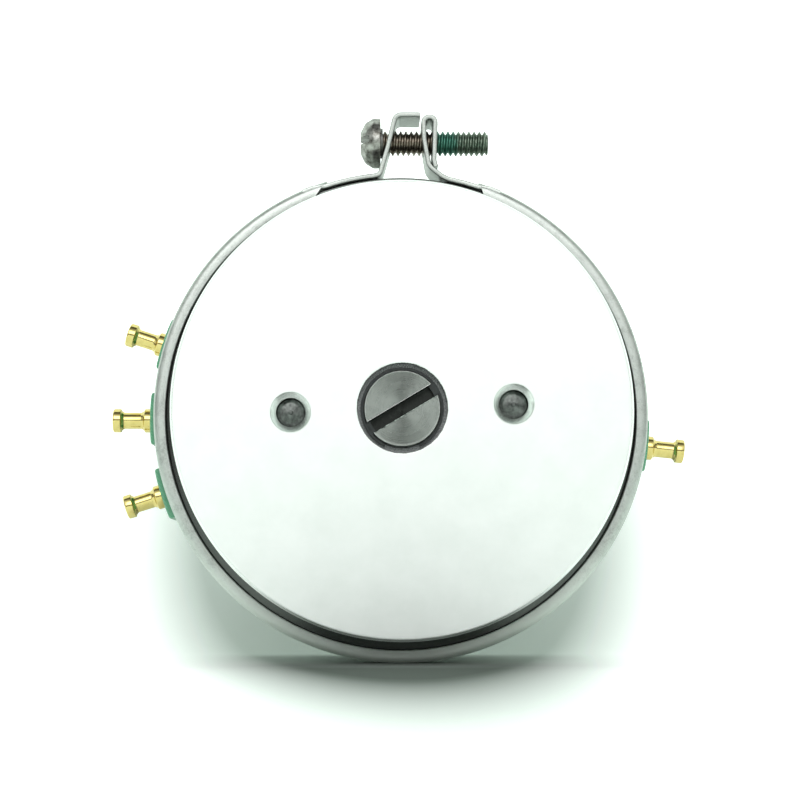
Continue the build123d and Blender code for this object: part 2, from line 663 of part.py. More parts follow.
with BuildPart() as shaft:
    with BuildSketch(radial_plane(90)) as section:
        with BuildLine() as outline:
            Polyline(
                (SHAFT_FRONT, 0),
                (SHAFT_FRONT, SHAFT_R - SHAFT_CHAMFER),
                (SHAFT_FRONT + SHAFT_CHAMFER, SHAFT_R),
                (FRONT_RING - FIT, SHAFT_R),
                (FRONT_RING - FIT, RING_GROOVE_R),
                (FRONT_RING + RING_THICKNESS + FIT, RING_GROOVE_R),
                (FRONT_RING + RING_THICKNESS + FIT, SHAFT_R),
                (REAR_RING - FIT, SHAFT_R),
                (REAR_RING - FIT, RING_GROOVE_R),
                (REAR_RING + RING_THICKNESS + FIT, RING_GROOVE_R),
                (REAR_RING + RING_THICKNESS + FIT, SHAFT_R),
                (SHAFT_REAR - SHAFT_REAR_CHAMFER, SHAFT_R),
                (SHAFT_REAR, SHAFT_R - SHAFT_REAR_CHAMFER),
                (SHAFT_REAR, 0),
                close=True,
            )
        make_face()
    revolve(axis=Axis.Y)
    with BuildSketch(face_plane(SHAFT_REAR)) as slot:
        Rectangle(3 * SHAFT_R, SHAFT_SLOT, rotation=SHAFT_SLOT_ANGLE)
    extrude(amount=-SHAFT_SLOT_DEPTH, mode=Mode.SUBTRACT)
    with BuildSketch(outward_plane(HUB_SCREW_ANGLE, HUB_SCREW_DEPTH, SHAFT_R - HUB_SCREW_BITE)) as flat:
        Circle(HUB_SCREW_R + FIT)
    extrude(amount=SHAFT_R, mode=Mode.SUBTRACT)
save(shaft, "shaft")

for name, front, reach in (
    ("front_retaining_ring", FRONT_RING, RING_REACH),
    ("rear_retaining_ring", REAR_RING, REAR_RING_REACH),
):
    with BuildPart() as retaining_ring:
        with BuildSketch(face_plane(front)) as profile:
            Circle(SHAFT_R + reach)
            Circle(RING_GROOVE_R + FIT, mode=Mode.SUBTRACT)
            with BuildLine() as opening:
                mouth = CenterArc((0, 0), 2 * (SHAFT_R + reach), -90 - RING_GAP_ANGLE / 2, RING_GAP_ANGLE)
                Line((0, 0), mouth @ 0)
                Line((0, 0), mouth @ 1)
            make_face(mode=Mode.SUBTRACT)
        extrude(amount=RING_THICKNESS)
    save(retaining_ring, name)

with BuildPart() as front_spacer:
    revolve(
        ring(SHAFT_R + FIT, SHAFT_R + SPACER_WALL, FRONT_BEARING + BEARING_WIDTH + GAP, HUB_FRONT - GAP),
        axis=Axis.Y,
    )
save(front_spacer, "front_spacer")

with BuildPart() as rear_spacer:
    revolve(
        ring(SHAFT_R + FIT, INNER_RACE_R - 2 * GAP, HUB_REAR + GAP, REAR_BEARING - GAP),
        axis=Axis.Y,
    )
save(rear_spacer, "rear_spacer")

# ---- Rotor: hub, its set screw, slip ring, wiper arm and wiper brush ----

with BuildPart() as rotor_hub:
    revolve(ring(SHAFT_R + FIT, HUB_R, HUB_FRONT, HUB_REAR), axis=Axis.Y)
    with BuildSketch(outward_plane(HUB_SCREW_ANGLE, HUB_SCREW_DEPTH, 0)) as tapping:
        Circle(HUB_SCREW_R + FIT)
    extrude(amount=2 * HUB_R, mode=Mode.SUBTRACT)
save(rotor_hub, "rotor_hub")

with BuildPart() as hub_screw:
    with BuildSketch(outward_plane(HUB_SCREW_ANGLE, HUB_SCREW_DEPTH, SHAFT_R - HUB_SCREW_BITE / 2)) as stem:
        Circle(HUB_SCREW_R)
    extrude(amount=HUB_R - SHAFT_R)
save(hub_screw, "hub_screw")

with BuildPart() as slip_ring:
    slip_front = SLIP_RING_DEPTH - SLIP_RING_WIDTH / 2
    slip_rear = SLIP_RING_DEPTH + SLIP_RING_WIDTH / 2
    revolve(ring(HUB_R + FIT, SLIP_RING_R, slip_front, slip_rear), axis=Axis.Y)
save(slip_ring, "slip_ring")

wiper_tip_r = WINDING_PITCH_R - WINDING_R - RUNNING
arm_end_r = wiper_tip_r - BRUSH_LENGTH / 2

with BuildPart() as wiper_arm:
    collar_front = ELEMENT_DEPTH - WIPER_COLLAR_WIDTH / 2
    collar_rear = ELEMENT_DEPTH + WIPER_COLLAR_WIDTH / 2
    revolve(ring(HUB_R + FIT, HUB_R + WIPER_COLLAR_WALL, collar_front, collar_rear), axis=Axis.Y)
    with BuildSketch(outward_plane(WIPER_ANGLE, ELEMENT_DEPTH, HUB_R + WIPER_COLLAR_WALL / 2)) as beam:
        Rectangle(WIPER_WIDTH, WIPER_SHEET)
    extrude(amount=arm_end_r - HUB_R - WIPER_COLLAR_WALL / 2)
    with BuildSketch(outward_plane(WIPER_ANGLE, ELEMENT_DEPTH, arm_end_r - BRUSH_LENGTH)) as head:
        Circle(2 * BRUSH_R)
    extrude(amount=BRUSH_LENGTH)
    with BuildSketch(outward_plane(WIPER_ANGLE, ELEMENT_DEPTH, arm_end_r - BRUSH_LENGTH / 2)) as socket:
        Circle(BRUSH_R + FIT)
    extrude(amount=BRUSH_LENGTH, mode=Mode.SUBTRACT)
save(wiper_arm, "wiper_arm")

with BuildPart() as wiper_brush:
    with BuildSketch(outward_plane(WIPER_ANGLE, ELEMENT_DEPTH, wiper_tip_r - BRUSH_LENGTH + FIT)) as stem:
        Circle(BRUSH_R)
    extrude(amount=BRUSH_LENGTH - FIT)
save(wiper_brush, "wiper_brush")

# ---- Resistance element: insulating base, winding, end contacts and centre tap ----

tap_angle = TERMINAL_ANGLES[3]
tap_length = LEAD_LINE_R + 2 * LEAD_R - ELEMENT_BASE_INNER_R

with BuildPart() as element_base:
    revolve(
        ring(
            ELEMENT_BASE_INNER_R,
            ELEMENT_BASE_R,
            ELEMENT_BASE_FRONT,
            ELEMENT_BASE_FRONT + ELEMENT_BASE_LENGTH,
        ),
        axis=Axis.Y,
    )
    with BuildSketch(radial_plane(90)) as groove:
        with Locations((ELEMENT_DEPTH, WINDING_PITCH_R)):
            Circle(WINDING_R + FIT)
    revolve(axis=Axis.Y, mode=Mode.SUBTRACT)
    with BuildSketch(outward_plane(GAP_ANGLE, ELEMENT_DEPTH, 0)) as lead_gap:
        Rectangle(2 * ELEMENT_GAP_HALF, 2 * ELEMENT_BASE_LENGTH)
    extrude(amount=BODY_R, mode=Mode.SUBTRACT)
    with BuildSketch(outward_plane(tap_angle, ELEMENT_BASE_FRONT, ELEMENT_BASE_INNER_R - WINDING_R)) as tap_notch:
        Rectangle(CONTACT_WIDTH / 2 + 2 * GAP, 2 * (ELEMENT_BASE_LENGTH / 2 - WINDING_R + GAP))
    extrude(amount=tap_length + WINDING_R + GAP, mode=Mode.SUBTRACT)
save(element_base, "element_base")

gap_half_angle = math.degrees(math.asin((ELEMENT_GAP_HALF + FIT) / WINDING_PITCH_R))

with BuildPart() as resistance_winding:
    with BuildSketch(radial_plane(GAP_ANGLE + gap_half_angle)) as wire_section:
        with Locations((ELEMENT_DEPTH, WINDING_PITCH_R)):
            Circle(WINDING_R)
    revolve(axis=Axis((0, 0, 0), (0, -1, 0)), revolution_arc=360 - 2 * gap_half_angle)
save(resistance_winding, "resistance_winding")

for name, side in (("end_contact_1", 1), ("end_contact_3", -1)):
    with BuildPart() as contact:
        centre_z = side * (ELEMENT_GAP_HALF - CONTACT_SHEET / 2 - FIT)
        contact_front = ELEMENT_BASE_FRONT - CONTACT_LIP
        contact_rear = ELEMENT_DEPTH + WINDING_R
        contact_middle = (contact_front + contact_rear) / 2
        with Locations((-WINDING_PITCH_R - CONTACT_WIDTH / 4, -contact_middle, centre_z)):
            Box(CONTACT_WIDTH, contact_rear - contact_front, CONTACT_SHEET)
    save(contact, name)

with BuildPart() as tap_contact:
    with BuildSketch(outward_plane(tap_angle, ELEMENT_BASE_FRONT, ELEMENT_BASE_INNER_R)) as block:
        Rectangle(CONTACT_WIDTH / 2, 2 * (ELEMENT_BASE_LENGTH / 2 - WINDING_R - FIT))
    extrude(amount=tap_length)
save(tap_contact, "tap_contact")

# ---- Internal leads from the terminals' tails ----

contact_lead_depth = ELEMENT_BASE_FRONT - CONTACT_LIP / 2
lead_end_z = ELEMENT_GAP_HALF + FIT
tap_front = ELEMENT_BASE_FRONT - (ELEMENT_BASE_LENGTH / 2 - WINDING_R - FIT)
pickup_depth = BLOCK_REAR - BLOCK_THICKNESS / 2
lead_routes = (
    (
        place(TERMINAL_TAIL_R - FIT, TERMINAL_ANGLES[0], TERMINAL_DEPTH),
        place(LEAD_LINE_R, TERMINAL_ANGLES[0], TERMINAL_DEPTH),
        (-LEAD_LINE_R, -contact_lead_depth, lead_end_z),
    ),
    (
        place(TERMINAL_TAIL_R - FIT, TERMINAL_ANGLES[1], TERMINAL_DEPTH),
        place(LEAD_LINE_R, TERMINAL_ANGLES[1], TERMINAL_DEPTH),
        place(LEAD_LINE_R, TERMINAL_ANGLES[1], pickup_depth),
        place(BLOCK_OUTER_R + FIT, TERMINAL_ANGLES[1], pickup_depth),
    ),
    (
        place(TERMINAL_TAIL_R - FIT, TERMINAL_ANGLES[2], TERMINAL_DEPTH),
        place(LEAD_LINE_R, TERMINAL_ANGLES[2], TERMINAL_DEPTH),
        (-LEAD_LINE_R, -contact_lead_depth, -lead_end_z),
    ),
    (
        place(TERMINAL_TAIL_R - FIT, TERMINAL_ANGLES[3], TERMINAL_DEPTH),
        place(LEAD_LINE_R, TERMINAL_ANGLES[3], TERMINAL_DEPTH),
        place(LEAD_LINE_R, TERMINAL_ANGLES[3], tap_front - FIT),
    ),
)
for number, route in enumerate(lead_routes, start=1):
    with BuildPart() as lead:
        with BuildLine() as path:
            FilletPolyline(*route, radius=LEAD_BEND)
        with BuildSketch(Plane(origin=path.line @ 0, z_dir=path.line % 0)) as wire:
            Circle(LEAD_R)
        sweep()
    save(lead, f"lead_wire_{number}")

# ---- Slip-ring pick-up: insulating block on the cover's pins, with two leaf brushes ----

with BuildPart() as pickup_block:
    with BuildSketch(face_plane(BLOCK_REAR - BLOCK_THICKNESS)) as bridge:
        start = PIN_ANGLE - BLOCK_OVERHANG_ANGLE
        sweep_angle = 180 + 2 * BLOCK_OVERHANG_ANGLE
        with BuildLine() as outline:
            outer = CenterArc((0, 0), BLOCK_OUTER_R, start, sweep_angle)
            inner = CenterArc((0, 0), BLOCK_INNER_R, start, sweep_angle)
            Line(outer @ 0, inner @ 0)
            Line(outer @ 1, inner @ 1)
        make_face()
        for angle in (PIN_ANGLE, PIN_ANGLE + 180):
            centre = place(PIN_CIRCLE_R, angle, 0)
            with Locations((centre[0], centre[2])):
                Circle(PIN_HOLE_R, mode=Mode.SUBTRACT)
    extrude(amount=BLOCK_THICKNESS)
save(pickup_block, "pickup_block")

with BuildPart() as pickup_brushes:
    leaf_root = BLOCK_REAR - BLOCK_THICKNESS - FIT
    leaf_tip_r = SLIP_RING_R + RUNNING
    for angle in (PIN_ANGLE, PIN_ANGLE + 180):
        with BuildSketch(radial_plane(angle)) as leaf:
            with BuildLine() as bent:
                FilletPolyline(
                    (leaf_root, PICKUP_R),
                    (SLIP_RING_DEPTH, PICKUP_R),
                    (SLIP_RING_DEPTH, leaf_tip_r),
                    radius=LEAD_BEND,
                )
            trace(line_width=PICKUP_SHEET)
        extrude(amount=PICKUP_WIDTH / 2, both=True)
save(pickup_brushes, "pickup_brushes")
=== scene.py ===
import json
import math
import bmesh
import bpy
from mathutils import Matrix, Vector, noise


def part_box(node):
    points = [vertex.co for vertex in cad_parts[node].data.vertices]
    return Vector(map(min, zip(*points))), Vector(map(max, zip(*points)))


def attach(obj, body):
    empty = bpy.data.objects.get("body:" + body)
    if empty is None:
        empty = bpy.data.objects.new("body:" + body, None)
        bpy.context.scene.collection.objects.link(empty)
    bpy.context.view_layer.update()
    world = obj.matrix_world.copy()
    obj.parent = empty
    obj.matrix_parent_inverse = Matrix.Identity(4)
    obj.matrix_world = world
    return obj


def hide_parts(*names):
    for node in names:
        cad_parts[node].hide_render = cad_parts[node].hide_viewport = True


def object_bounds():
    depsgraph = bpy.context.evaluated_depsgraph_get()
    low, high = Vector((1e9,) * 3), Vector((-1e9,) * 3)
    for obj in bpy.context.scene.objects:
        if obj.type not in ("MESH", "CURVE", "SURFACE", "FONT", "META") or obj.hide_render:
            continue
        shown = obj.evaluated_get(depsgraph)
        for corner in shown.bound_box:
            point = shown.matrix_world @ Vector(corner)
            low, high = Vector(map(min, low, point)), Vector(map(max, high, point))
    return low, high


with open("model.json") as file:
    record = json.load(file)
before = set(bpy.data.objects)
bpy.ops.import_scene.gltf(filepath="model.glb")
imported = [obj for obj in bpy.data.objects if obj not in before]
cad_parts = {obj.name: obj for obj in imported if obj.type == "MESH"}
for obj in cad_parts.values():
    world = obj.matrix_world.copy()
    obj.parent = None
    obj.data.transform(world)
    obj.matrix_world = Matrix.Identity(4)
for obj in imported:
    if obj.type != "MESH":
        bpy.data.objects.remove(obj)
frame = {"nodes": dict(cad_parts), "record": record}
cad_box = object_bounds()

# Precision rotary potentiometer with a clamp band, seen from the rear.
# The frame is the CAD model's: the shaft along Y, the rear cover towards -Y, +Z at the clamp's ears.
# Sizes here are in millimetres, and a depth is measured from the mounting face towards the rear.

MM = 0.001


# ---- Sizes and places from the frame ----


def box(node):
    """A CAD node's lowest and highest corners, in millimetres."""
    low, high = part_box(node)
    return [v / MM for v in low], [v / MM for v in high]


def mount(name):
    """A mount of the record, by its name."""
    return next(m for m in frame["record"]["mounts"] if m["name"] == name)


def turret(number):
    """Middle of a terminal's tip in millimetres, and the direction it points in."""
    found = mount(f"solder_turret_{number}")
    return Vector(found["pos_m"]) / MM, Vector(found["axis"])


cover_low, cover_high = box("rear_cover")
housing_low, housing_high = box("housing")
lid_low, lid_high = box("front_lid")
band_low, band_high = box("clamp_band")
screw_low, screw_high = box("clamp_screw")
shaft_low, shaft_high = box("shaft")
pins_low, pins_high = box("cover_pins")
bearing_low, bearing_high = box("rear_bearing_outer_ring")

REAR = -cover_low[1]
JOINT = -housing_low[1]
LID_DEPTH = -housing_high[1]
SPIGOT_END = -lid_low[1]
PILOT_HEIGHT = lid_high[1]
BODY_R = lid_high[0]
FLANGE_R = cover_high[0]
COVER_SPIGOT = JOINT + cover_high[1]
CHANNEL_R = band_high[0]
BAND_REAR = -band_low[1]
BAND_FRONT = -band_high[1]
EAR_TOP = band_high[2]
SCREW_Z = (screw_low[2] + screw_high[2]) / 2
SCREW_Y = (screw_low[1] + screw_high[1]) / 2
SCREW_HEAD_R = (screw_high[2] - screw_low[2]) / 2
SHAFT_R = shaft_high[0]
SHAFT_REAR = -shaft_low[1]
SHAFT_FRONT = -shaft_high[1]
BEARING_R = bearing_high[0]
REAR_BEARING = -bearing_high[1]
COVER_INSIDE = -bearing_low[1]

# ---- Sizes of the details that the frame's boxes don't give ----

WALL = 1.2
FIT = 0.02
FLANGE_THICKNESS = 1.62
COVER_CHAMFER = 0.22
SEAT_WALL = 1.25
WINDOW_R = 3.73
PIN_R = 1.16
PIN_HOLE_R = 1.2
PIN_SINK_R = 1.68
BAND_SHEET = 0.4
LIP_REACH = 0.42
STRIP_INSET = 0.06
SCREW_R = 1.09
SCREW_PITCH = 0.4536
SCREW_THREAD_DEPTH = 0.27
SCREW_HEAD_BACK = -1.78
SCREW_HOLE_R = 1.17
SCREW_SLOT = 0.6
SHAFT_SLOT = 1.08
SHAFT_SLOT_DEPTH = 1.1
SHAFT_SLOT_ANGLE = 30.9
SHAFT_GROOVE = 0.35
TERMINAL_LENGTH = 3.4
TERMINAL_TAIL = 5.0
TERMINAL_NECK_R = 0.73
TERMINAL_RIM_R = 1.05
PAD_HALF_ANGLE = 6.0
PAD_NECK_R = 1.58
HOUSING_WINDOW_R = 1.62
LID_GROOVE_START = 1.6
LID_GROOVE_END = 3.2
LID_GROOVE_DEPTH = 1.45
LID_WEB = 3.4
LID_SPIGOT_WALL = 1.4
LID_SEAT = 1.975
PILOT_STEP = 3.175
TAPPING_DEPTH = 3.0
TAPPING_RIDGES = 7
TAPPING_THREAD = 0.14
LID_SCREW_R = 0.62
LID_SCREW_HEAD_R = 1.07
LID_SCREW_SETBACK = 1.2
EDGE = 0.04

# ---- Camera: its lean from the shaft's axis, its distance, and its aim beside the cover's centre ----

CAMERA_LEAN = math.radians(5.5)
CAMERA_LEAN_X = -0.2
CAMERA_LEAN_Z = -0.98
CAMERA_DISTANCE = 156
CAMERA_AIM_X = -0.2
CAMERA_AIM_Z = 0.65
CAMERA_LENS = 85.725
CAMERA_SENSOR = 36

# ---- Studio: how bright it is all round, high behind and low in front, and the soft box in metres ----

WORLD_BASE = 0.1
WORLD_BACK = 0.12
WORLD_FRONT = 0.95
WORLD_SEEN = 1.05
WORLD_TINT = (0.955, 1.0, 0.965, 1)
KEY_WATTS = 0.8
KEY_PLACE = (-0.04, -0.55, 0.27)
KEY_AIM = (0, -0.02, 0)
KEY_SIZE = (0.45, 0.3)
WHITE = (1.0, 1.0, 1.0)

# ---- Floor: flat under the object, then a quarter round up to a wall behind it ----

FLOOR_REACH = 3000
SWEEP_R = 15
SWEEP_Y = 19
SWEEP_STEPS = 16

# ---- Floor's painted shadow: its tone, by the distance from the pool of shadow's centre line, 9 mm below the shaft ----

POOL_DROP = 9.0
POOL_LEAN = -0.12
PAINTED_SHADOW_TONE = (0.12, 0.14, 0.125)

SIDES = 256
SMALL_SIDES = 96


# ---- Mesh helpers ----


def axis_frame(origin, direction):
    """Matrix from a lathe's own frame, whose axis is local Z, to the object's frame."""
    z = Vector(direction).normalized()
    x = Vector((1, 0, 0)) if abs(z.x) < 0.9 else Vector((0, 0, 1))
    x = (x - z * x.dot(z)).normalized()
    rotation = Matrix((x, z.cross(x), z)).transposed().to_4x4()
    return Matrix.Translation(Vector(origin)) @ rotation


SHAFT_AXIS = axis_frame((0, 0, 0), (0, -1, 0))
SCREW_AXIS = axis_frame((0, SCREW_Y, SCREW_Z), (1, 0, 0))


def rounded(corners, closed=True, steps=4):
    """Outline through (u, v, radius) corners, with each corner that has a radius turned into an arc."""
    count = len(corners)
    points = []
    for i, (u, v, radius) in enumerate(corners):
        here = Vector((u, v))
        if radius <= 0 or (not closed and i in (0, count - 1)):
            points.append(here)
            continue
        before = Vector(corners[i - 1][:2]) - here
        after = Vector(corners[(i + 1) % count][:2]) - here
        half = before.angle(after) / 2
        cut = min(radius / math.tan(half), 0.49 * before.length, 0.49 * after.length)
        start = here + before.normalized() * cut
        end = here + after.normalized() * cut
        centre = here + (before.normalized() + after.normalized()).normalized() * (cut / math.cos(half))
        sweep = (start - centre).angle_signed(end - centre)
        for k in range(steps + 1):
            turn = Matrix.Rotation(-sweep * k / steps, 2)
            points.append(centre + turn @ (start - centre))
    return points


def piece_from(mesh_edit, name, transform=None):
    if transform is not None:
        mesh_edit.transform(transform)
    bmesh.ops.remove_doubles(mesh_edit, verts=mesh_edit.verts, dist=1e-4)
    bmesh.ops.recalc_face_normals(mesh_edit, faces=mesh_edit.faces)
    mesh = bpy.data.meshes.new(name)
    mesh_edit.to_mesh(mesh)
    mesh_edit.free()
    piece = bpy.data.objects.new(name, mesh)
    bpy.context.scene.collection.objects.link(piece)
    return piece


def add_lathe(mesh_edit, outline, sides, closed=True, shape=None, transform=None):
    """Turned surface of an (along, radius) outline. shape(along, radius, angle) may change a point."""
    rings = []
    for along, radius in outline:
        if radius < 1e-6:
            rings.append([mesh_edit.verts.new((0, 0, along))])
            continue
        ring = []
        for k in range(sides):
            a = 2 * math.pi * k / sides
            u, r = shape(along, radius, a) if shape else (along, radius)
            ring.append(mesh_edit.verts.new((r * math.cos(a), r * math.sin(a), u)))
        rings.append(ring)
    if transform is not None:
        for ring in rings:
            for vert in ring:
                vert.co = transform @ vert.co
    pairs = list(zip(rings, rings[1:] + rings[:1])) if closed else list(zip(rings, rings[1:]))
    for one, two in pairs:
        for k in range(sides):
            n = (k + 1) % sides
            loop = [one[k % len(one)], one[n % len(one)], two[n % len(two)], two[k % len(two)]]
            loop = list(dict.fromkeys(loop))
            if len(loop) > 2:
                mesh_edit.faces.new(loop)


def turned(name, outline, axis=SHAFT_AXIS, sides=SIDES, closed=True, shape=None):
    mesh_edit = bmesh.new()
    add_lathe(mesh_edit, outline, sides, closed, shape)
    return piece_from(mesh_edit, name, axis)


def add_skin(mesh_edit, rings):
    """Walls between rings that have the same number of points, and a face at each end."""
    count = len(rings[0])
    for one, two in zip(rings, rings[1:]):
        for k in range(count):
            n = (k + 1) % count
            mesh_edit.faces.new((one[k], one[n], two[n], two[k]))
    mesh_edit.faces.new(rings[0])
    mesh_edit.faces.new(rings[-1])


def add_sweep(mesh_edit, path, section, across):
    """Strip of a (side, thickness) section along a path in the XZ plane, side being along Y."""
    rings = []
    for i, here in enumerate(path):
        before = path[max(i - 1, 0)]
        after = path[min(i + 1, len(path) - 1)]
        along = (after - before).normalized()
        normal = Vector((-along.y, along.x))
        ring = []
        for side, thick in section:
            p = here + normal * thick
            ring.append(mesh_edit.verts.new((p.x, across + side, p.y)))
        rings.append(ring)
    add_skin(mesh_edit, rings)


def cut(piece, cutters):
    """Takes the cutters out of the piece, and deletes them."""
    for cutter in cutters:
        modifier = piece.modifiers.new("cut", "BOOLEAN")
        modifier.object = cutter
        modifier.operation = "DIFFERENCE"
        modifier.solver = "EXACT"
    bpy.context.view_layer.update()
    graph = bpy.context.evaluated_depsgraph_get()
    mesh = bpy.data.meshes.new_from_object(piece.evaluated_get(graph))
    piece.modifiers.clear()
    piece.data = mesh
    for cutter in cutters:
        bpy.data.objects.remove(cutter)


def block(name, size, centre, turn=None):
    """Cutter with flat sides."""
    mesh_edit = bmesh.new()
    bmesh.ops.create_cube(mesh_edit, size=1)
    place = Matrix.Translation(Vector(centre)) @ (turn or Matrix.Identity(4)) @ Matrix.Diagonal((*size, 1))
    return piece_from(mesh_edit, name, place)


def finish(piece, material, body, nodes, sharp=32):
    """Shading, material, and the piece's place in the frame."""
    in_metres(piece)
    mesh = piece.data
    mesh.shade_smooth()
    mesh.set_sharp_from_angle(angle=math.radians(sharp))
    weighted = piece.modifiers.new("weighted_normals", "WEIGHTED_NORMAL")
    weighted.keep_sharp = True
    mesh.materials.clear()
    mesh.materials.append(material)
    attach(piece, body)
    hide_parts(*nodes)


def in_metres(piece):
    piece.data.transform(Matrix.Diagonal((MM, MM, MM, 1)))


def join(pieces):
    """One piece with all the pieces' meshes."""
    mesh_edit = bmesh.new()
    for piece in pieces:
        mesh_edit.from_mesh(piece.data)
    joined = pieces[0]
    mesh_edit.to_mesh(joined.data)
    mesh_edit.free()
    for piece in pieces[1:]:
        bpy.data.objects.remove(piece)
    return joined


def polar(radius, degrees):
    a = math.radians(degrees)
    return Vector((radius * math.cos(a), radius * math.sin(a)))


# ---- Material helpers ----


class Surface:
    """A procedural material, with a short call for each kind of node. Lengths are in millimetres."""

    def __init__(self, name, values):
        self.material = bpy.data.materials.new(name)
        self.material.use_nodes = True
        self.tree = self.material.node_tree
        self.shader = self.tree.nodes["Principled BSDF"]
        for socket, value in values.items():
            self.shader.inputs[socket].default_value = value
        coordinates = self.tree.nodes.new("ShaderNodeTexCoord")
        scale = self.tree.nodes.new("ShaderNodeVectorMath")
        scale.operation = "SCALE"
        scale.inputs["Scale"].default_value = 1 / MM
        self.tree.links.new(coordinates.outputs["Object"], scale.inputs[0])
        self.place = scale.outputs[0]
        parts = self.tree.nodes.new("ShaderNodeSeparateXYZ")
        self.tree.links.new(self.place, parts.inputs[0])
        self.x, self.y, self.z = parts.outputs

    def put(self, socket, value):
        if isinstance(value, bpy.types.NodeSocket):
            self.tree.links.new(value, socket)
        else:
            socket.default_value = value

    def math(self, operation, a, b=0.0, c=0.0):
        node = self.tree.nodes.new("ShaderNodeMath")
        node.operation = operation
        for socket, value in zip(node.inputs, (a, b, c)):
            self.put(socket, value)
        return node.outputs[0]

    def vector(self, x, y, z):
        node = self.tree.nodes.new("ShaderNodeCombineXYZ")
        for socket, value in zip(node.inputs, (x, y, z)):
            self.put(socket, value)
        return node.outputs[0]

    def distance(self, one, two):
        """Length of a vector with two parts."""
        squares = self.math("ADD", self.math("MULTIPLY", one, one), self.math("MULTIPLY", two, two))
        return self.math("SQRT", squares)

    def radius(self):
        """Distance from the shaft's axis."""
        return self.distance(self.x, self.z)

    def angle(self):
        return self.math("ARCTAN2", self.z, self.x)

    def stretch(self, x=1.0, y=1.0, z=1.0):
        node = self.tree.nodes.new("ShaderNodeMapping")
        node.inputs["Scale"].default_value = (x, y, z)
        self.tree.links.new(self.place, node.inputs["Vector"])
        return node.outputs[0]

    def noise(self, size, detail=3.0, rough=0.55, place=None, distortion=0.0):
        node = self.tree.nodes.new("ShaderNodeTexNoise")
        node.inputs["Scale"].default_value = 1 / size
        node.inputs["Detail"].default_value = detail
        node.inputs["Roughness"].default_value = rough
        node.inputs["Distortion"].default_value = distortion
        self.tree.links.new(place or self.place, node.inputs["Vector"])
        return node.outputs["Fac"]

    def spread(self, value, low, high, start=0.0, end=1.0):
        """The value's range from start to end, mapped to low to high."""
        node = self.tree.nodes.new("ShaderNodeMapRange")
        for socket, v in zip(node.inputs, (value, start, end, low, high)):
            self.put(socket, v)
        return node.outputs[0]

    def ramp(self, value, stops):
        node = self.tree.nodes.new("ShaderNodeValToRGB")
        ramp = node.color_ramp
        while len(ramp.elements) < len(stops):
            ramp.elements.new(0.5)
        for element, (place, color) in zip(ramp.elements, stops):
            element.position = place
            element.color = (*color, 1)
        self.tree.links.new(value, node.inputs[0])
        return node.outputs[0]

    def mix(self, factor, a, b):
        node = self.tree.nodes.new("ShaderNodeMix")
        node.data_type = "RGBA"
        self.put(node.inputs[0], factor)
        for socket, value in zip(node.inputs[6:8], (a, b)):
            self.put(socket, (*value, 1) if isinstance(value, tuple) else value)
        return node.outputs[2]

    def bump(self, height, depth, under=None):
        """Normal from a height of 0 to 1, with its depth in millimetres."""
        node = self.tree.nodes.new("ShaderNodeBump")
        node.inputs["Distance"].default_value = depth * MM
        self.put(node.inputs["Height"], height)
        if under is not None:
            self.tree.links.new(under, node.inputs["Normal"])
        return node.outputs[0]

    def turned_grain(self, strength):
        """Anisotropic highlights round the shaft's axis."""
        tangent = self.tree.nodes.new("ShaderNodeTangent")
        tangent.direction_type = "RADIAL"
        tangent.axis = "Y"
        self.shader.inputs["Anisotropic"].default_value = strength
        self.tree.links.new(tangent.outputs[0], self.shader.inputs["Tangent"])

    def wear(self, base, rough, normal=None):
        self.put(self.shader.inputs["Base Color"], base)
        self.put(self.shader.inputs["Roughness"], rough)
        if normal is not None:
            self.put(self.shader.inputs["Normal"], normal)
        return self.material


METAL = {"Metallic": 1.0}


def satin_aluminium():
    """Fine blasted and anodised face, with faint turning marks under it and soft mottling. The chamfer has a
    painted highlight in white, the window and the plateau's side have painted shade in near black and dark
    grey, and the countersinks are smoother."""
    s = Surface("satin_aluminium", {**METAL, "Specular IOR Level": 0.5})
    mottle = s.noise(2.6, 4.0, 0.6)
    grain = s.noise(0.055, 2.0, 0.6)
    rings = s.noise(0.16, 1.0, 0.5, s.vector(s.radius(), 0.0, 0.0))
    base = s.mix(s.spread(mottle, 0.0, 1.0, 0.3, 0.7), (0.88, 0.91, 0.89), (0.93, 0.955, 0.94))
    # Painted shade: the window's wall, and the cover's inside within the window's radius, are near black.
    window_shade = s.math("MULTIPLY", s.spread(s.radius(), 1.0, 0.0, WINDOW_R + 0.05, WINDOW_R + 0.09),
                       s.spread(s.y, 0.0, 1.0, -REAR + 0.01, -REAR + 0.05))
    base = s.mix(window_shade, base, (0.012, 0.013, 0.012))
    # Painted highlight: the rim's chamfer is painted white.
    chamfer_r = BODY_R - COVER_CHAMFER
    chamfer_end = -REAR + COVER_CHAMFER
    edge = s.math("MULTIPLY", s.spread(s.radius(), 0.0, 1.0, chamfer_r, chamfer_r + 0.03),
                  s.spread(s.y, 1.0, 0.0, chamfer_end - 0.03, chamfer_end))
    base = s.mix(edge, base, (1.0, 1.0, 1.0))
    # Painted shade: the plateau's side behind the chamfer, and the flange's rim, are dark grey.
    side = s.spread(s.y, 0.0, 1.0, chamfer_end, chamfer_end + 0.1)
    outer = s.spread(s.radius(), 0.0, 1.0, BODY_R - 0.1, BODY_R - 0.05)
    base = s.mix(s.math("MULTIPLY", side, outer), base, (0.1, 0.105, 0.1))
    scratch = s.noise(0.5, 2.0, 0.5, s.stretch(0.15, 1.0, 1.3), 0.4)
    rough = s.math("ADD", s.spread(grain, 0.4, 0.5), s.spread(scratch, -0.03, 0.05))
    cut_in = s.spread(s.y, 0.0, 1.0, -REAR + 0.03, -REAR + 0.07)
    rough = s.math("MULTIPLY", rough, s.spread(cut_in, 1.0, 0.35))
    normal = s.bump(rings, 0.0012, s.bump(grain, 0.0035))
    return s.wear(base, rough, normal)


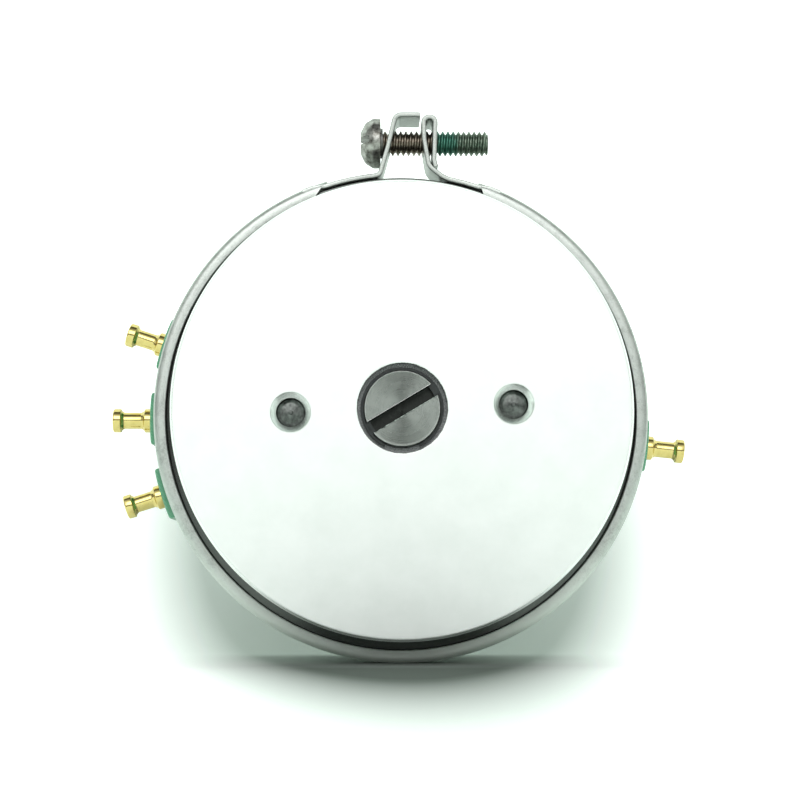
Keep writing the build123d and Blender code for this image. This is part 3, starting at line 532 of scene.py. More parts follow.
def turned_aluminium():
    """Lathe-cut body, with tool marks round the axis."""
    s = Surface("turned_aluminium", {**METAL})
    s.turned_grain(0.55)
    across = s.math("ADD", s.radius(), s.y)
    marks = s.noise(0.07, 2.0, 0.6, s.vector(across, 0.0, 0.0))
    cloud = s.noise(3.0, 3.0)
    base = s.mix(cloud, (0.62, 0.65, 0.635), (0.78, 0.8, 0.785))
    rough = s.spread(marks, 0.24, 0.42)
    return s.wear(base, rough, s.bump(marks, 0.004))


def rolled_steel():
    """Rolled strip, with streaks along it, small pits and dull patches. Its ears are darker, and its
    lowest part is painted paler as painted light, and is duller."""
    s = Surface("rolled_steel", {**METAL})
    along = s.math("MULTIPLY", s.angle(), 6.0)
    streaks = s.noise(0.12, 3.0, 0.6, s.vector(along, s.y, s.math("MULTIPLY", s.radius(), 0.6)))
    patches = s.noise(1.3, 4.0, 0.65)
    pits = s.noise(0.12, 3.0, 0.7)
    dark = s.ramp(s.math("MULTIPLY", pits, patches), [(0.1, (0.2, 0.215, 0.2)), (0.26, (0.47, 0.5, 0.475))])
    base = s.mix(s.spread(streaks, 0.0, 0.75), dark, (0.72, 0.75, 0.72))
    ears = s.spread(s.z, 0.0, 1.0, BODY_R + 0.4, BODY_R + 1.4)
    base = s.mix(ears, base, s.mix(s.spread(pits, 0.0, 1.0), (0.2, 0.215, 0.2), (0.62, 0.65, 0.62)))
    # Painted light: the band's lowest part is paler; it is also made rougher there.
    below = s.spread(s.z, 1.0, 0.0, -17.5, -12.0)
    base = s.mix(below, base, (0.86, 0.9, 0.86))
    rough = s.math("ADD", s.spread(patches, 0.22, 0.46), s.spread(pits, -0.06, 0.08))
    rough = s.math("ADD", rough, s.math("MULTIPLY", below, 0.3))
    normal = s.bump(streaks, 0.004, s.bump(pits, 0.008))
    return s.wear(base, rough, normal)


def worn_screw_steel():
    """Worn steel head, brownish thread, and dried green locking lacquer on the thread's free end."""
    s = Surface("worn_screw_steel", {**METAL})
    cloud = s.noise(0.55, 4.0, 0.65)
    fine = s.noise(0.1, 3.0, 0.6)
    steel = s.mix(s.spread(cloud, 0.0, 1.0, 0.35, 0.65), (0.14, 0.135, 0.12), (0.5, 0.5, 0.47))
    thread = s.mix(cloud, (0.13, 0.105, 0.08), (0.42, 0.37, 0.31))
    on_thread = s.spread(s.x, 0.0, 1.0, SCREW_HEAD_BACK - 0.12, SCREW_HEAD_BACK + 0.18)
    base = s.mix(on_thread, steel, thread)
    edge = s.math("ADD", s.x, s.math("MULTIPLY", s.noise(0.4, 2.0), 1.2))
    lacquer = s.math("MULTIPLY", s.spread(edge, 0.0, 1.0, 3.45, 3.75), s.spread(edge, 1.0, 0.45, 5.1, 5.7))
    green = s.mix(fine, (0.02, 0.16, 0.13), (0.08, 0.36, 0.27))
    base = s.mix(s.math("MULTIPLY", lacquer, s.spread(fine, 0.55, 1.0)), base, green)
    rough = s.math("ADD", s.spread(cloud, 0.2, 0.42), s.math("MULTIPLY", lacquer, 0.15))
    return s.wear(base, rough, s.bump(cloud, 0.012, s.bump(fine, 0.006)))


def faced_shaft_steel():
    """Dark lathe-faced steel, with fine rings round its centre, a painted highlight at the end face's rim,
    and painted shade, near black, in the slot and round the shaft just behind its end.
    """
    s = Surface("faced_shaft_steel", {**METAL})
    s.turned_grain(0.75)
    rings = s.noise(0.045, 2.0, 0.6, s.vector(s.math("ADD", s.radius(), s.y), 0.0, 0.0))
    cloud = s.noise(1.1, 3.0, 0.6)
    face = s.mix(s.math("MULTIPLY", rings, cloud), (0.18, 0.195, 0.183), (0.52, 0.55, 0.52))
    # Painted shade: from 0.12 mm to about 2 mm behind the end face, in the slot and round the shaft, the
    # steel is near black; further in it is plain grey steel.
    base = s.mix(s.spread(s.y, 0.0, 1.0, -SHAFT_REAR + 0.12, -SHAFT_REAR + 0.3), face, (0.03, 0.032, 0.03))
    # Painted highlight: a thin pale ring at the rim of the end face.
    rim = s.math("MULTIPLY", s.spread(s.radius(), 0.0, 1.0, SHAFT_R - 0.13, SHAFT_R - 0.09),
                 s.spread(s.y, 1.0, 0.0, -SHAFT_REAR + 0.07, -SHAFT_REAR + 0.1))
    base = s.mix(rim, base, (0.72, 0.75, 0.72))
    base = s.mix(s.spread(s.y, 0.0, 1.0, -SHAFT_REAR + 2.0, -SHAFT_REAR + 2.2), base, (0.38, 0.39, 0.38))
    rough = s.math("ADD", s.spread(rings, 0.2, 0.34), s.spread(cloud, -0.03, 0.06))
    return s.wear(base, rough, s.bump(rings, 0.004))


def dark_pin_steel():
    """Dark oiled steel with blotches."""
    s = Surface("dark_pin_steel", {**METAL})
    blotch = s.noise(0.35, 4.0, 0.65)
    fine = s.noise(0.07, 2.0)
    base = s.mix(s.spread(blotch, 0.0, 1.0, 0.3, 0.75), (0.055, 0.06, 0.056), (0.23, 0.245, 0.235))
    rough = s.spread(blotch, 0.22, 0.45)
    return s.wear(base, rough, s.bump(blotch, 0.02, s.bump(fine, 0.004)))


def plain_metal(name, dark, light, low, high, size=0.5, depth=0.003):
    """Metal whose tone and gloss vary in small clouds."""
    s = Surface(name, {**METAL})
    cloud = s.noise(size, 4.0, 0.6)
    fine = s.noise(size / 6, 2.0, 0.6)
    base = s.mix(cloud, dark, light)
    rough = s.spread(fine, low, high)
    return s.wear(base, rough, s.bump(fine, depth))


def gold_plate():
    """Bright plating over a turned brass terminal, with faint tool rings and a few dull specks."""
    s = Surface("gold_plate", {**METAL})
    cloud = s.noise(0.5, 3.0, 0.6)
    rings = s.noise(0.05, 1.0, 0.5, s.vector(s.radius(), 0.0, 0.0))
    specks = s.spread(s.noise(0.16, 4.0, 0.7), 0.0, 1.0, 0.62, 0.72)
    plate = s.mix(cloud, (0.7, 0.55, 0.17), (0.86, 0.72, 0.32))
    base = s.mix(specks, plate, (0.45, 0.33, 0.13))
    rough = s.math("ADD", s.spread(cloud, 0.06, 0.13), s.math("MULTIPLY", specks, 0.2))
    return s.wear(base, rough, s.bump(rings, 0.003))


def green_laminate():
    """Woven glass in green epoxy: a fine weave, paler at its crossings, under a resin gloss."""
    s = Surface("green_laminate", {"Coat Weight": 0.5, "Coat Roughness": 0.12, "Subsurface Weight": 0.25,
                                   "Subsurface Scale": 0.0006, "Subsurface Radius": (0.5, 1.0, 0.6)})
    thread = 0.28
    one = s.math("SINE", s.math("MULTIPLY", s.y, 2 * math.pi / thread))
    two = s.math("SINE", s.math("MULTIPLY", s.math("ADD", s.z, s.x), 2 * math.pi / thread))
    weave = s.spread(s.math("MULTIPLY", one, two), 0.0, 1.0, -1.0, 1.0)
    cloud = s.noise(0.9, 3.0, 0.6)
    resin = s.mix(cloud, (0.035, 0.22, 0.105), (0.09, 0.36, 0.2))
    base = s.mix(s.math("MULTIPLY", weave, 0.35), resin, (0.3, 0.55, 0.4))
    rough = s.spread(cloud, 0.32, 0.5)
    return s.wear(base, rough, s.bump(weave, 0.008))


def moulding(name, dark, light, gloss=0.5, size=0.6):
    """Moulded or pressed insulation, with flow clouds and fine grain."""
    s = Surface(name, {})
    cloud = s.noise(size, 4.0, 0.6)
    fine = s.noise(size / 8, 2.0)
    base = s.mix(cloud, dark, light)
    rough = s.spread(fine, gloss - 0.08, gloss + 0.08)
    return s.wear(base, rough, s.bump(fine, 0.004))


def wound_wire():
    """Close turns of fine resistance wire across the winding's core."""
    s = Surface("wound_wire", {**METAL})
    turns = s.math("SINE", s.math("MULTIPLY", s.angle(), 900.0))
    cloud = s.noise(0.8, 2.0)
    crest = s.mix(cloud, (0.5, 0.42, 0.33), (0.62, 0.53, 0.4))
    base = s.mix(s.spread(turns, 0.0, 1.0, -1.0, 1.0), (0.16, 0.12, 0.09), crest)
    return s.wear(base, s.spread(cloud, 0.25, 0.4), s.bump(turns, 0.02))


# ---- Camera ----


def make_camera():
    """Rear view, a little from below, with the clamp's ears at the top of the frame."""
    rear_centre = Vector((0, -REAR, 0))
    lean = math.sin(CAMERA_LEAN)
    toward = Vector((CAMERA_LEAN_X * lean, -math.cos(CAMERA_LEAN), CAMERA_LEAN_Z * lean))
    place = rear_centre + toward * CAMERA_DISTANCE
    aim = rear_centre + Vector((CAMERA_AIM_X, 0, CAMERA_AIM_Z))
    data = bpy.data.cameras.new("camera")
    data.lens = CAMERA_LENS
    data.sensor_width = CAMERA_SENSOR
    data.clip_start = 0.01
    data.clip_end = 20
    camera = bpy.data.objects.new("camera", data)
    camera.location = place * MM
    camera.rotation_euler = (aim - place).to_track_quat("-Z", "Y").to_euler()
    bpy.context.scene.collection.objects.link(camera)
    bpy.context.scene.camera = camera


# ---- Floor and light ----


def make_floor():
    """Pale floor under the lowest point of the object, with a painted shadow in front of it, that sweeps up
    behind it as a backdrop.

    The sweep shows only from its front, so that it hides nothing in a view from behind it."""
    level = cad_box[0][2] / MM
    profile = [(-FLOOR_REACH, level)]
    for k in range(SWEEP_STEPS + 1):
        p = polar(SWEEP_R, -90 + 90 * k / SWEEP_STEPS)
        profile.append((SWEEP_Y - SWEEP_R + p.x, level + SWEEP_R + p.y))
    profile.append((SWEEP_Y, FLOOR_REACH))
    mesh_edit = bmesh.new()
    rows = []
    for y, z in profile:
        ends = (-FLOOR_REACH, FLOOR_REACH)
        rows.append([mesh_edit.verts.new((x * MM, y * MM, z * MM)) for x in ends])
    for one, two in zip(rows, rows[1:]):
        mesh_edit.faces.new((one[0], one[1], two[1], two[0]))
    mesh = bpy.data.meshes.new("floor")
    mesh_edit.to_mesh(mesh)
    mesh_edit.free()
    mesh.shade_smooth()
    floor = bpy.data.objects.new("floor", mesh)
    bpy.context.scene.collection.objects.link(floor)
    floor.data.materials.append(pale_floor())


def pale_floor():
    """Matt white, with a painted shadow that darkens it in front of the object and a glow that makes it
    brighter away from it, and clear from behind.
    """
    s = Surface("pale_floor", {"Specular IOR Level": 0.05})
    below = s.math("ADD", s.z, POOL_DROP)
    apart = s.math("ADD", s.distance(s.x, below), s.math("MULTIPLY", s.y, POOL_LEAN))
    # Painted shadow: the floor is darker in front of the object, near the pool's centre line.
    in_front = s.spread(s.y, 1.0, 0.0, -30.0, 16.0)
    close = s.math("MULTIPLY", in_front, s.spread(apart, 1.0, 0.0, 17.5, 25.0))
    cloud = s.noise(40.0, 2.0)
    pale = s.mix(cloud, (0.78, 0.86, 0.81), (0.8, 0.875, 0.83))
    material = s.wear(s.mix(close, pale, PAINTED_SHADOW_TONE), 0.9)

    def shader(kind, *values):
        node = s.tree.nodes.new(kind)
        for socket, value in zip(node.inputs, values):
            s.put(socket, value)
        return node.outputs[0]

    seen = s.tree.nodes.new("ShaderNodeLightPath").outputs["Is Camera Ray"]
    behind = s.tree.nodes.new("ShaderNodeNewGeometry").outputs["Backfacing"]
    # Painted light: the floor glows, though it is no lamp, more away from the pool and more for camera rays.
    away = s.math("MULTIPLY", s.spread(apart, 0.0, 0.9, 18.0, 29.0), s.spread(seen, 0.4, 1.0))
    bright = shader("ShaderNodeEmission", (0.97, 1.0, 0.98, 1), away)
    both = shader("ShaderNodeAddShader", s.shader.outputs[0], bright)
    clear = shader("ShaderNodeBsdfTransparent")
    s.put(s.tree.nodes["Material Output"].inputs[0], shader("ShaderNodeMixShader", behind, both, clear))
    return material


def area_light(name, place, aim, size, power, color):
    data = bpy.data.lights.new(name, "AREA")
    data.shape = "RECTANGLE"
    data.size, data.size_y = size
    data.energy = power
    data.color = color
    light = bpy.data.objects.new(name, data)
    light.location = place
    light.rotation_euler = (Vector(aim) - Vector(place)).to_track_quat("-Z", "Y").to_euler()
    bpy.context.scene.collection.objects.link(light)


def make_light():
    """A soft box before the rear cover and above it, in a dim studio with a brighter ceiling behind and a
    bright band in front. The camera sees plain white."""
    area_light("key", KEY_PLACE, KEY_AIM, KEY_SIZE, KEY_WATTS, WHITE)
    world = bpy.data.worlds.new("studio")
    bpy.context.scene.world = world
    world.use_nodes = True
    tree = world.node_tree
    tree.nodes.clear()

    def node(kind, *values, **settings):
        made = tree.nodes.new(kind)
        for key, value in settings.items():
            setattr(made, key, value)
        for socket, value in zip(made.inputs, values):
            if isinstance(value, bpy.types.NodeSocket):
                tree.links.new(value, socket)
            else:
                socket.default_value = value
        return made.outputs

    def step(value, start, end):
        return node("ShaderNodeMapRange", value, start, end, 0.0, 1.0, interpolation_type="SMOOTHSTEP")[0]

    def times(a, b):
        return node("ShaderNodeMath", a, b, operation="MULTIPLY")[0]

    def plus(a, b):
        return node("ShaderNodeMath", a, b, operation="ADD")[0]

    coordinates = tree.nodes.new("ShaderNodeTexCoord")
    x, y, z = node("ShaderNodeSeparateXYZ", coordinates.outputs["Generated"])
    back = times(step(y, -0.35, 0.25), step(z, 0.1, 0.55))
    front = times(times(step(y, -0.1, -0.5), step(z, -0.06, 0.4)), step(z, 1.0, 0.6))
    level = plus(plus(times(back, WORLD_BACK), times(front, WORLD_FRONT)), WORLD_BASE)
    around = node("ShaderNodeBackground", WORLD_TINT, level)
    seen = node("ShaderNodeBackground", (*WHITE, 1), WORLD_SEEN)
    camera_ray = node("ShaderNodeLightPath")[0]
    mixed = node("ShaderNodeMixShader", camera_ray, around[0], seen[0])
    node("ShaderNodeOutputWorld", mixed[0])
    bpy.context.scene.view_settings.view_transform = "Standard"


# ---- Rear cover: plateau, clamp flange, bearing seat, window and two countersunk holes ----


def pin_places():
    """Centres of the two pins in X and Z, from the pins' box."""
    x = (pins_high[0] - pins_low[0]) / 2 - PIN_R
    z = (pins_high[2] - pins_low[2]) / 2 - PIN_R
    return (Vector((x, z)), Vector((-x, -z)))


def make_rear_cover(material):
    spigot_r = BODY_R - WALL - FIT
    seat_r = BEARING_R + FIT
    boss_r = seat_r + SEAT_WALL
    face_r = BODY_R - COVER_CHAMFER
    flat_rings = [(REAR, radius, 0) for radius in (WINDOW_R + 0.15, 8, 14, face_r - 0.15)]
    corners = [
        (REAR, WINDOW_R, 0.03), *flat_rings, (REAR, face_r, 0.06), (REAR - COVER_CHAMFER, BODY_R, 0.06),
        (JOINT + FLANGE_THICKNESS, BODY_R, 0.08), (JOINT + FLANGE_THICKNESS, FLANGE_R, 0.1),
        (JOINT, FLANGE_R, 0.05), (JOINT, spigot_r, 0), (JOINT - COVER_SPIGOT, spigot_r, 0.1),
        (JOINT - COVER_SPIGOT, spigot_r - WALL, 0.1), (COVER_INSIDE, spigot_r - WALL, 0.3),
        (COVER_INSIDE, boss_r, 0.2), (REAR_BEARING, boss_r, 0.1), (REAR_BEARING, seat_r, 0.05),
        (COVER_INSIDE, seat_r, 0), (COVER_INSIDE, WINDOW_R, 0.03),
    ]

    def nicked(along, radius, angle):
        """Fine chatter marks round the window's mouth."""
        if abs(radius - WINDOW_R) > 0.05:
            return along, radius
        uneven = noise.noise(polar(9, math.degrees(angle)).to_3d())
        return along, radius + 0.018 * math.sin(96 * angle) + 0.03 * uneven

    cover = turned("cover", rounded(corners), sides=2 * SIDES, shape=nicked)
    cutters = []
    for place in pin_places():
        slope = PIN_SINK_R - PIN_HOLE_R
        mouth_r = PIN_SINK_R + 0.04
        outline = rounded([
            (COVER_INSIDE - 1, 0, 0), (COVER_INSIDE - 1, PIN_HOLE_R, 0), (REAR - slope, PIN_HOLE_R, 0.05),
            (REAR, PIN_SINK_R, 0.05), (REAR + 0.12, mouth_r, 0), (REAR + 0.5, mouth_r, 0),
            (REAR + 0.5, 0, 0)], closed=False)
        axis = axis_frame((place.x, 0, place.y), (0, -1, 0))
        cutters.append(turned("hole", outline, axis, SMALL_SIDES, closed=False))
    cut(cover, cutters)
    finish(cover, material, "stator", ["rear_cover"])


# ---- Cover pins: domed, with a small nib at the centre ----


def make_pins(material):
    front = -pins_high[1]
    rear = -pins_low[1]
    mesh_edit = bmesh.new()
    for place in pin_places():
        outline = rounded([
            (rear, 0, 0), (rear, 0.13, 0.03), (rear - 0.09, 0.17, 0.04), (rear - 0.13, 0.45, 0.3),
            (rear - 0.24, 0.85, 0.3), (rear - 0.42, PIN_R, 0.12), (front, PIN_R, 0.05), (front, 0, 0)],
            closed=False)
        add_lathe(mesh_edit, outline, SMALL_SIDES, False, None, axis_frame((place.x, 0, place.y), (0, -1, 0)))
    pins = piece_from(mesh_edit, "pins")
    finish(pins, material, "stator", ["cover_pins"], 50)


# ---- Shaft: lathe-faced slotted rear end, journals and a plain front extension ----


def make_shaft(material):
    groove_r = SHAFT_R - SHAFT_GROOVE
    ring_low, ring_high = box("front_retaining_ring")
    back_low, back_high = box("rear_retaining_ring")
    corners = [
        (SHAFT_FRONT, 0, 0), (SHAFT_FRONT, SHAFT_R - 0.4, EDGE), (SHAFT_FRONT + 0.4, SHAFT_R, EDGE),
        (-ring_high[1] - FIT, SHAFT_R, EDGE), (-ring_high[1] - FIT, groove_r, 0),
        (-ring_low[1] + FIT, groove_r, 0), (-ring_low[1] + FIT, SHAFT_R, EDGE),
        (-back_high[1] - FIT, SHAFT_R, EDGE), (-back_high[1] - FIT, groove_r, 0),
        (-back_low[1] + FIT, groove_r, 0), (-back_low[1] + FIT, SHAFT_R, EDGE),
        (SHAFT_REAR - 0.07, SHAFT_R, 0.03), (SHAFT_REAR, SHAFT_R - 0.09, 0.04),
        (SHAFT_REAR - 0.012, SHAFT_R - 0.25, 0.1), (SHAFT_REAR - 0.012, 1.4, 0), (SHAFT_REAR - 0.02, 0.3, 0),
        (SHAFT_REAR - 0.035, 0, 0),
    ]
    shaft = turned("slotted_shaft", rounded(corners, closed=False), closed=False)
    turn = Matrix.Rotation(-math.radians(SHAFT_SLOT_ANGLE), 4, "Y")
    slot = block("slot", (3 * SHAFT_R, 2 * SHAFT_SLOT_DEPTH, SHAFT_SLOT), (0, -SHAFT_REAR, 0), turn)
    bevel = slot.modifiers.new("round", "BEVEL")
    bevel.width = 0.08
    bevel.segments = 3
    cut(shaft, [slot])
    finish(shaft, material, "rotor", ["shaft"])


def make_slot_burrs(material):
    """Raised ragged burr along the slot's two edges, left by the slitting saw, higher on one side."""
    mesh_edit = bmesh.new()
    half = SHAFT_SLOT / 2
    reach = math.sqrt(SHAFT_R ** 2 - half ** 2) - 0.12
    steps = 90
    for side in (-1, 1):
        scale = 1.3 if side < 0 else 0.5
        rings = []
        for k in range(steps + 1):
            u = -reach + 2 * reach * k / steps
            coarse = noise.noise(Vector((u * 2.3, side * 5, 0)))
            fine = noise.noise(Vector((u * 7, side, 3)))
            ragged = max(0.5 + coarse + 0.5 * fine, 0.0)
            height = 0.015 + 0.045 * ragged * scale
            width = 0.05 + 0.03 * ragged
            ring = []
            for v, w in ((half + width, 0.02), (half + 0.5 * width, -height * 0.7), (half, -height),
                         (half - 0.02, 0.0), (half - 0.005, 0.12), (half + width, 0.12)):
                ring.append(mesh_edit.verts.new((u, -SHAFT_REAR + w, side * v)))
            rings.append(ring)
        add_skin(mesh_edit, rings)
    turn = Matrix.Rotation(-math.radians(SHAFT_SLOT_ANGLE), 4, "Y")
    burrs = piece_from(mesh_edit, "slot_burrs", turn)
    finish(burrs, material, "rotor", ["shaft"], 60)


# ---- Clamp band: channel round the joint, flat tails, a tabbed ear and a folded ear ----


def make_band(material):
    """The channel is a ring of one section, cut on a slant where its roof ends before its lips. Each ear
    is a strip along a bent path of (x, z, bend radius), with a hole for the screw."""
    mesh_edit = bmesh.new()
    sheet = BAND_SHEET
    roof = CHANNEL_R
    lip = FLANGE_R - LIP_REACH
    front, rear = BAND_FRONT, BAND_REAR
    corners = [
        (rear, lip, 0.1), (rear, roof, 0.62), (front, roof, 0.62), (front, lip, 0.1),
        (front + sheet, lip, 0.05), (front + sheet, roof - sheet, 0.25),
        (rear - sheet, roof - sheet, 0.25), (rear - sheet, lip, 0.12),
    ]
    outline = rounded(corners, steps=5)
    left_lip, left_roof, right_lip, right_roof = 112.0, 107.7, 69.0, 71.5
    steps = 300
    rings = []
    for k in range(steps + 1):
        t = k / steps
        ring = []
        for depth, radius in outline:
            high = min(max((radius - lip) / (roof - lip), 0), 1)
            start = left_lip + (left_roof - left_lip) * high
            end = 360 + right_lip + (right_roof - right_lip) * high
            a = start + (end - start) * t
            ripple = 0.02 * noise.noise(polar(4, a).to_3d()) if radius < roof - sheet else 0.0
            p = polar(radius + ripple, a)
            ring.append(mesh_edit.verts.new((p.x, -depth, p.y)))
        rings.append(ring)
    add_skin(mesh_edit, rings)
    channel = piece_from(mesh_edit, "band")

    half = (rear - front) / 2 - STRIP_INSET
    thick = sheet / 2
    section = rounded([
        (-half, -thick, 0.09), (half, -thick, 0.09), (half, thick, 0.09), (-half, thick, 0.09)], steps=3)
    roof_line = roof - thick
    tail_line = FLANGE_R + 0.04 + thick
    tab_line = EAR_TOP - thick
    fold_line = tab_line - 0.18
    left = [polar(roof_line, a) for a in (114, 111.5)]
    left += [polar(tail_line, a) for a in (108.5, 106.5, 104.5, 102.5, 100.5, 98.5, 97)]
    left = [(p.x, p.y, 1.0) for p in left] + [
        (-1.84, 20.44, 0.6), (-1.12, 23.05, 4.0), (-0.5, tab_line, 0.62), (1.62, tab_line, 0)]
    right = [polar(roof_line, a) for a in (66, 68.5)]
    right += [polar(tail_line, a) for a in (71.5, 73.2, 75, 76.8, 78.6)]
    right = [(p.x, p.y, 1.0) for p in right] + [
        (3.45, 20.37, 1.4), (2.36, 21.25, 1.0), (1.96, 23.6, 3.0), (1.9, fold_line, 0.47),
        (2.93, fold_line, 0.47), (2.81, 21.7, 0.5), (2.95, 21.2, 0)]
    parts = [channel]
    for name, path in (("left_ear", left), ("right_ear", right)):
        mesh_edit = bmesh.new()
        add_sweep(mesh_edit, rounded(path, closed=False, steps=6), section, SCREW_Y)
        ear = piece_from(mesh_edit, name)
        bore = [(-2, 0), (-2, SCREW_HOLE_R), (6, SCREW_HOLE_R), (6, 0)]
        cut(ear, [turned("hole", bore, SCREW_AXIS, SMALL_SIDES, False)])
        parts.append(ear)
    band = join(parts)
    finish(band, material, "stator", ["clamp_band"], 40)


# ---- Clamp screw: worn pan head with a slot, and a real helical thread ----


def make_screw(material):
    """The thread is turned with many rings to a pitch, whose radius follows the helix."""
    head_front = screw_low[0]
    head_back = SCREW_HEAD_BACK
    end = screw_high[0]
    root_r = SCREW_R - SCREW_THREAD_DEPTH
    head = rounded([
        (head_front + 0.03, 0, 0), (head_front, 0.9, 0.5), (head_front + 0.42, 1.75, 0.7),
        (head_back - 0.62, SCREW_HEAD_R, 0.45), (head_back, SCREW_HEAD_R, 0.09), (head_back, root_r, 0)],
        closed=False, steps=6)
    rows = [(p.x, p.y) for p in head]
    per_pitch = 16
    count = int((end - head_back) / SCREW_PITCH * per_pitch)
    rows += [(head_back + (end - head_back) * k / count, SCREW_R) for k in range(1, count + 1)]
    rows.append((end, 0))

    def threaded(along, radius, angle):
        c = math.cos(angle)
        d = math.sin(angle)
        if along <= head_back:
            worn = noise.noise(Vector((along * 1.7, 2.2 * c, 2.2 * d)))
            fine = noise.noise(Vector((along * 6, 7 * c, 7 * d)))
            return along, radius * (1 + 0.012 * worn + 0.004 * fine)
        phase = (along / SCREW_PITCH + angle / (2 * math.pi)) % 1.0
        flank = abs(2 * phase - 1)
        height = min(max((flank - 0.22) / 0.62, 0.0), 1.0)
        chip = 0.02 * noise.noise(Vector((along * 5, 3 * c, 3 * d)))
        taper = min(1.0, (end - along) / 0.25 + 0.45)
        return along, root_r + (SCREW_R - root_r) * height * taper + chip * height - 0.02

    screw = turned("screw", rows, SCREW_AXIS, SMALL_SIDES, closed=False, shape=threaded)
    slot = block("slot", (1.5, 3 * SCREW_HEAD_R, SCREW_SLOT), (head_front, SCREW_Y, SCREW_Z))
    cut(screw, [slot])
    finish(screw, material, "screw", ["clamp_screw"], 38)


# ---- Terminals and their pads ----


def make_terminals(gold):
    for number in range(1, 5):
        tip, direction = turret(number)
        length = TERMINAL_LENGTH
        neck = TERMINAL_NECK_R
        rim = TERMINAL_RIM_R
        collar = tip.xz.length - length
        corners = [
            (-TERMINAL_TAIL, 0, 0), (-TERMINAL_TAIL, neck, 0.05), (0.0, neck, 0), (0.0, rim, 0.06),
            (0.62, rim, 0.1), (0.72, 0.86, 0.1), (0.95, neck, 0.2), (2.45, neck, 0.2), (2.66, 0.9, 0.1),
            (2.7, rim, 0.09), (length, rim, 0.14), (length, 0.5, 0.2), (length - 0.03, 0, 0)]
        base = direction * collar
        axis = axis_frame((base.x, tip.y, base.z), direction)
        outline = rounded(corners, closed=False, steps=5)
        terminal = turned(f"turret_{number}", outline, axis, SMALL_SIDES, False)
        finish(terminal, gold, "stator", [f"turret_terminal_{number}"])


def make_pads(laminate):
    for number in range(1, 5):
        tip, direction = turret(number)
        middle = math.degrees(math.atan2(direction.z, direction.x))
        low, high = box(f"terminal_pad_{number}")
        outer = tip.xz.length - TERMINAL_LENGTH - FIT
        inner = BODY_R + FIT
        half_width = (high[1] - low[1]) / 2
        mesh_edit = bmesh.new()
        section = rounded([
            (-half_width, inner, 0.05), (half_width, inner, 0.05), (half_width, outer, 0.3),
            (-half_width, outer, 0.3)], steps=4)
        rings = []
        steps = 24
        for k in range(steps + 1):
            t = 2 * k / steps - 1
            squeeze = 1 - 0.05 * abs(t) ** 14
            a = middle + PAD_HALF_ANGLE * math.copysign(1 - (1 - abs(t)) ** 1.35, t)
            ring = []
            for y, r in section:
                p = polar(inner + (r - inner) * squeeze, a)
                ring.append(mesh_edit.verts.new((p.x, tip.y + y * squeeze, p.y)))
            rings.append(ring)
        add_skin(mesh_edit, rings)
        start = inner - WALL - 0.3
        end = inner + 0.2
        neck = [(start, 0), (start, PAD_NECK_R), (end, PAD_NECK_R), (end, 0)]
        add_lathe(mesh_edit, neck, SMALL_SIDES, False, None, axis_frame((0, tip.y, 0), direction))
        pad = piece_from(mesh_edit, f"pad_{number}")
        finish(pad, laminate, "stator", [f"terminal_pad_{number}"])


# ---- Front lid and housing ----


def make_front_lid(material):
    bore_r = BODY_R - WALL - FIT
    seat_r = BEARING_R + FIT
    shoulder_r = seat_r - 0.86
    pilot_r = BODY_R - PILOT_STEP
    groove_r = BODY_R - LID_GROOVE_DEPTH
    inside_r = bore_r - LID_SPIGOT_WALL
    corners = [
        (-PILOT_HEIGHT, seat_r, 0.12), (-PILOT_HEIGHT, 9, 0), (-PILOT_HEIGHT, pilot_r, 0.22),
        (0, pilot_r, 0.03), (0, BODY_R, 0.14), (LID_GROOVE_START, BODY_R, 0.1),
        (LID_GROOVE_START, groove_r, 0.06), (LID_GROOVE_END, groove_r, 0.06), (LID_GROOVE_END, BODY_R, 0.1),
        (LID_DEPTH, BODY_R, 0.05), (LID_DEPTH, bore_r, 0), (SPIGOT_END, bore_r, 0.1),
        (SPIGOT_END, inside_r, 0.1), (LID_WEB, inside_r, 0.4), (LID_WEB, shoulder_r, 0.1),
        (LID_SEAT, shoulder_r, 0.03), (LID_SEAT, seat_r, 0)]
    lid = turned("lid", rounded(corners))
    cutters = []
    holes = mount("tapped_holes")["dims"]
    circle = holes["pcd_mm"] / 2
    hole_r = holes["hole_r_mm"]
    for k in range(holes["count"]):
        p = polar(circle, 45 + 90 * k)
        bottom = TAPPING_DEPTH - PILOT_HEIGHT
        mouth = -PILOT_HEIGHT + 0.16
        crest_r = hole_r - TAPPING_THREAD
        outline = [(bottom + 0.5, 0), (bottom, crest_r)]
        step = (bottom - mouth) / TAPPING_RIDGES
        for n in range(TAPPING_RIDGES):
            along = bottom - step * n
            outline += [(along, crest_r), (along - step / 2, hole_r)]
        outline += [(mouth, hole_r), (-PILOT_HEIGHT - 0.1, hole_r + 0.2), (-PILOT_HEIGHT - 0.5, hole_r + 0.2),
                    (-PILOT_HEIGHT - 0.5, 0)]
        cutters.append(turned("hole", outline, axis_frame((p.x, 0, p.y), (0, -1, 0)), 48, closed=False))
    cut(lid, cutters)
    finish(lid, material, "stator", ["front_lid"])


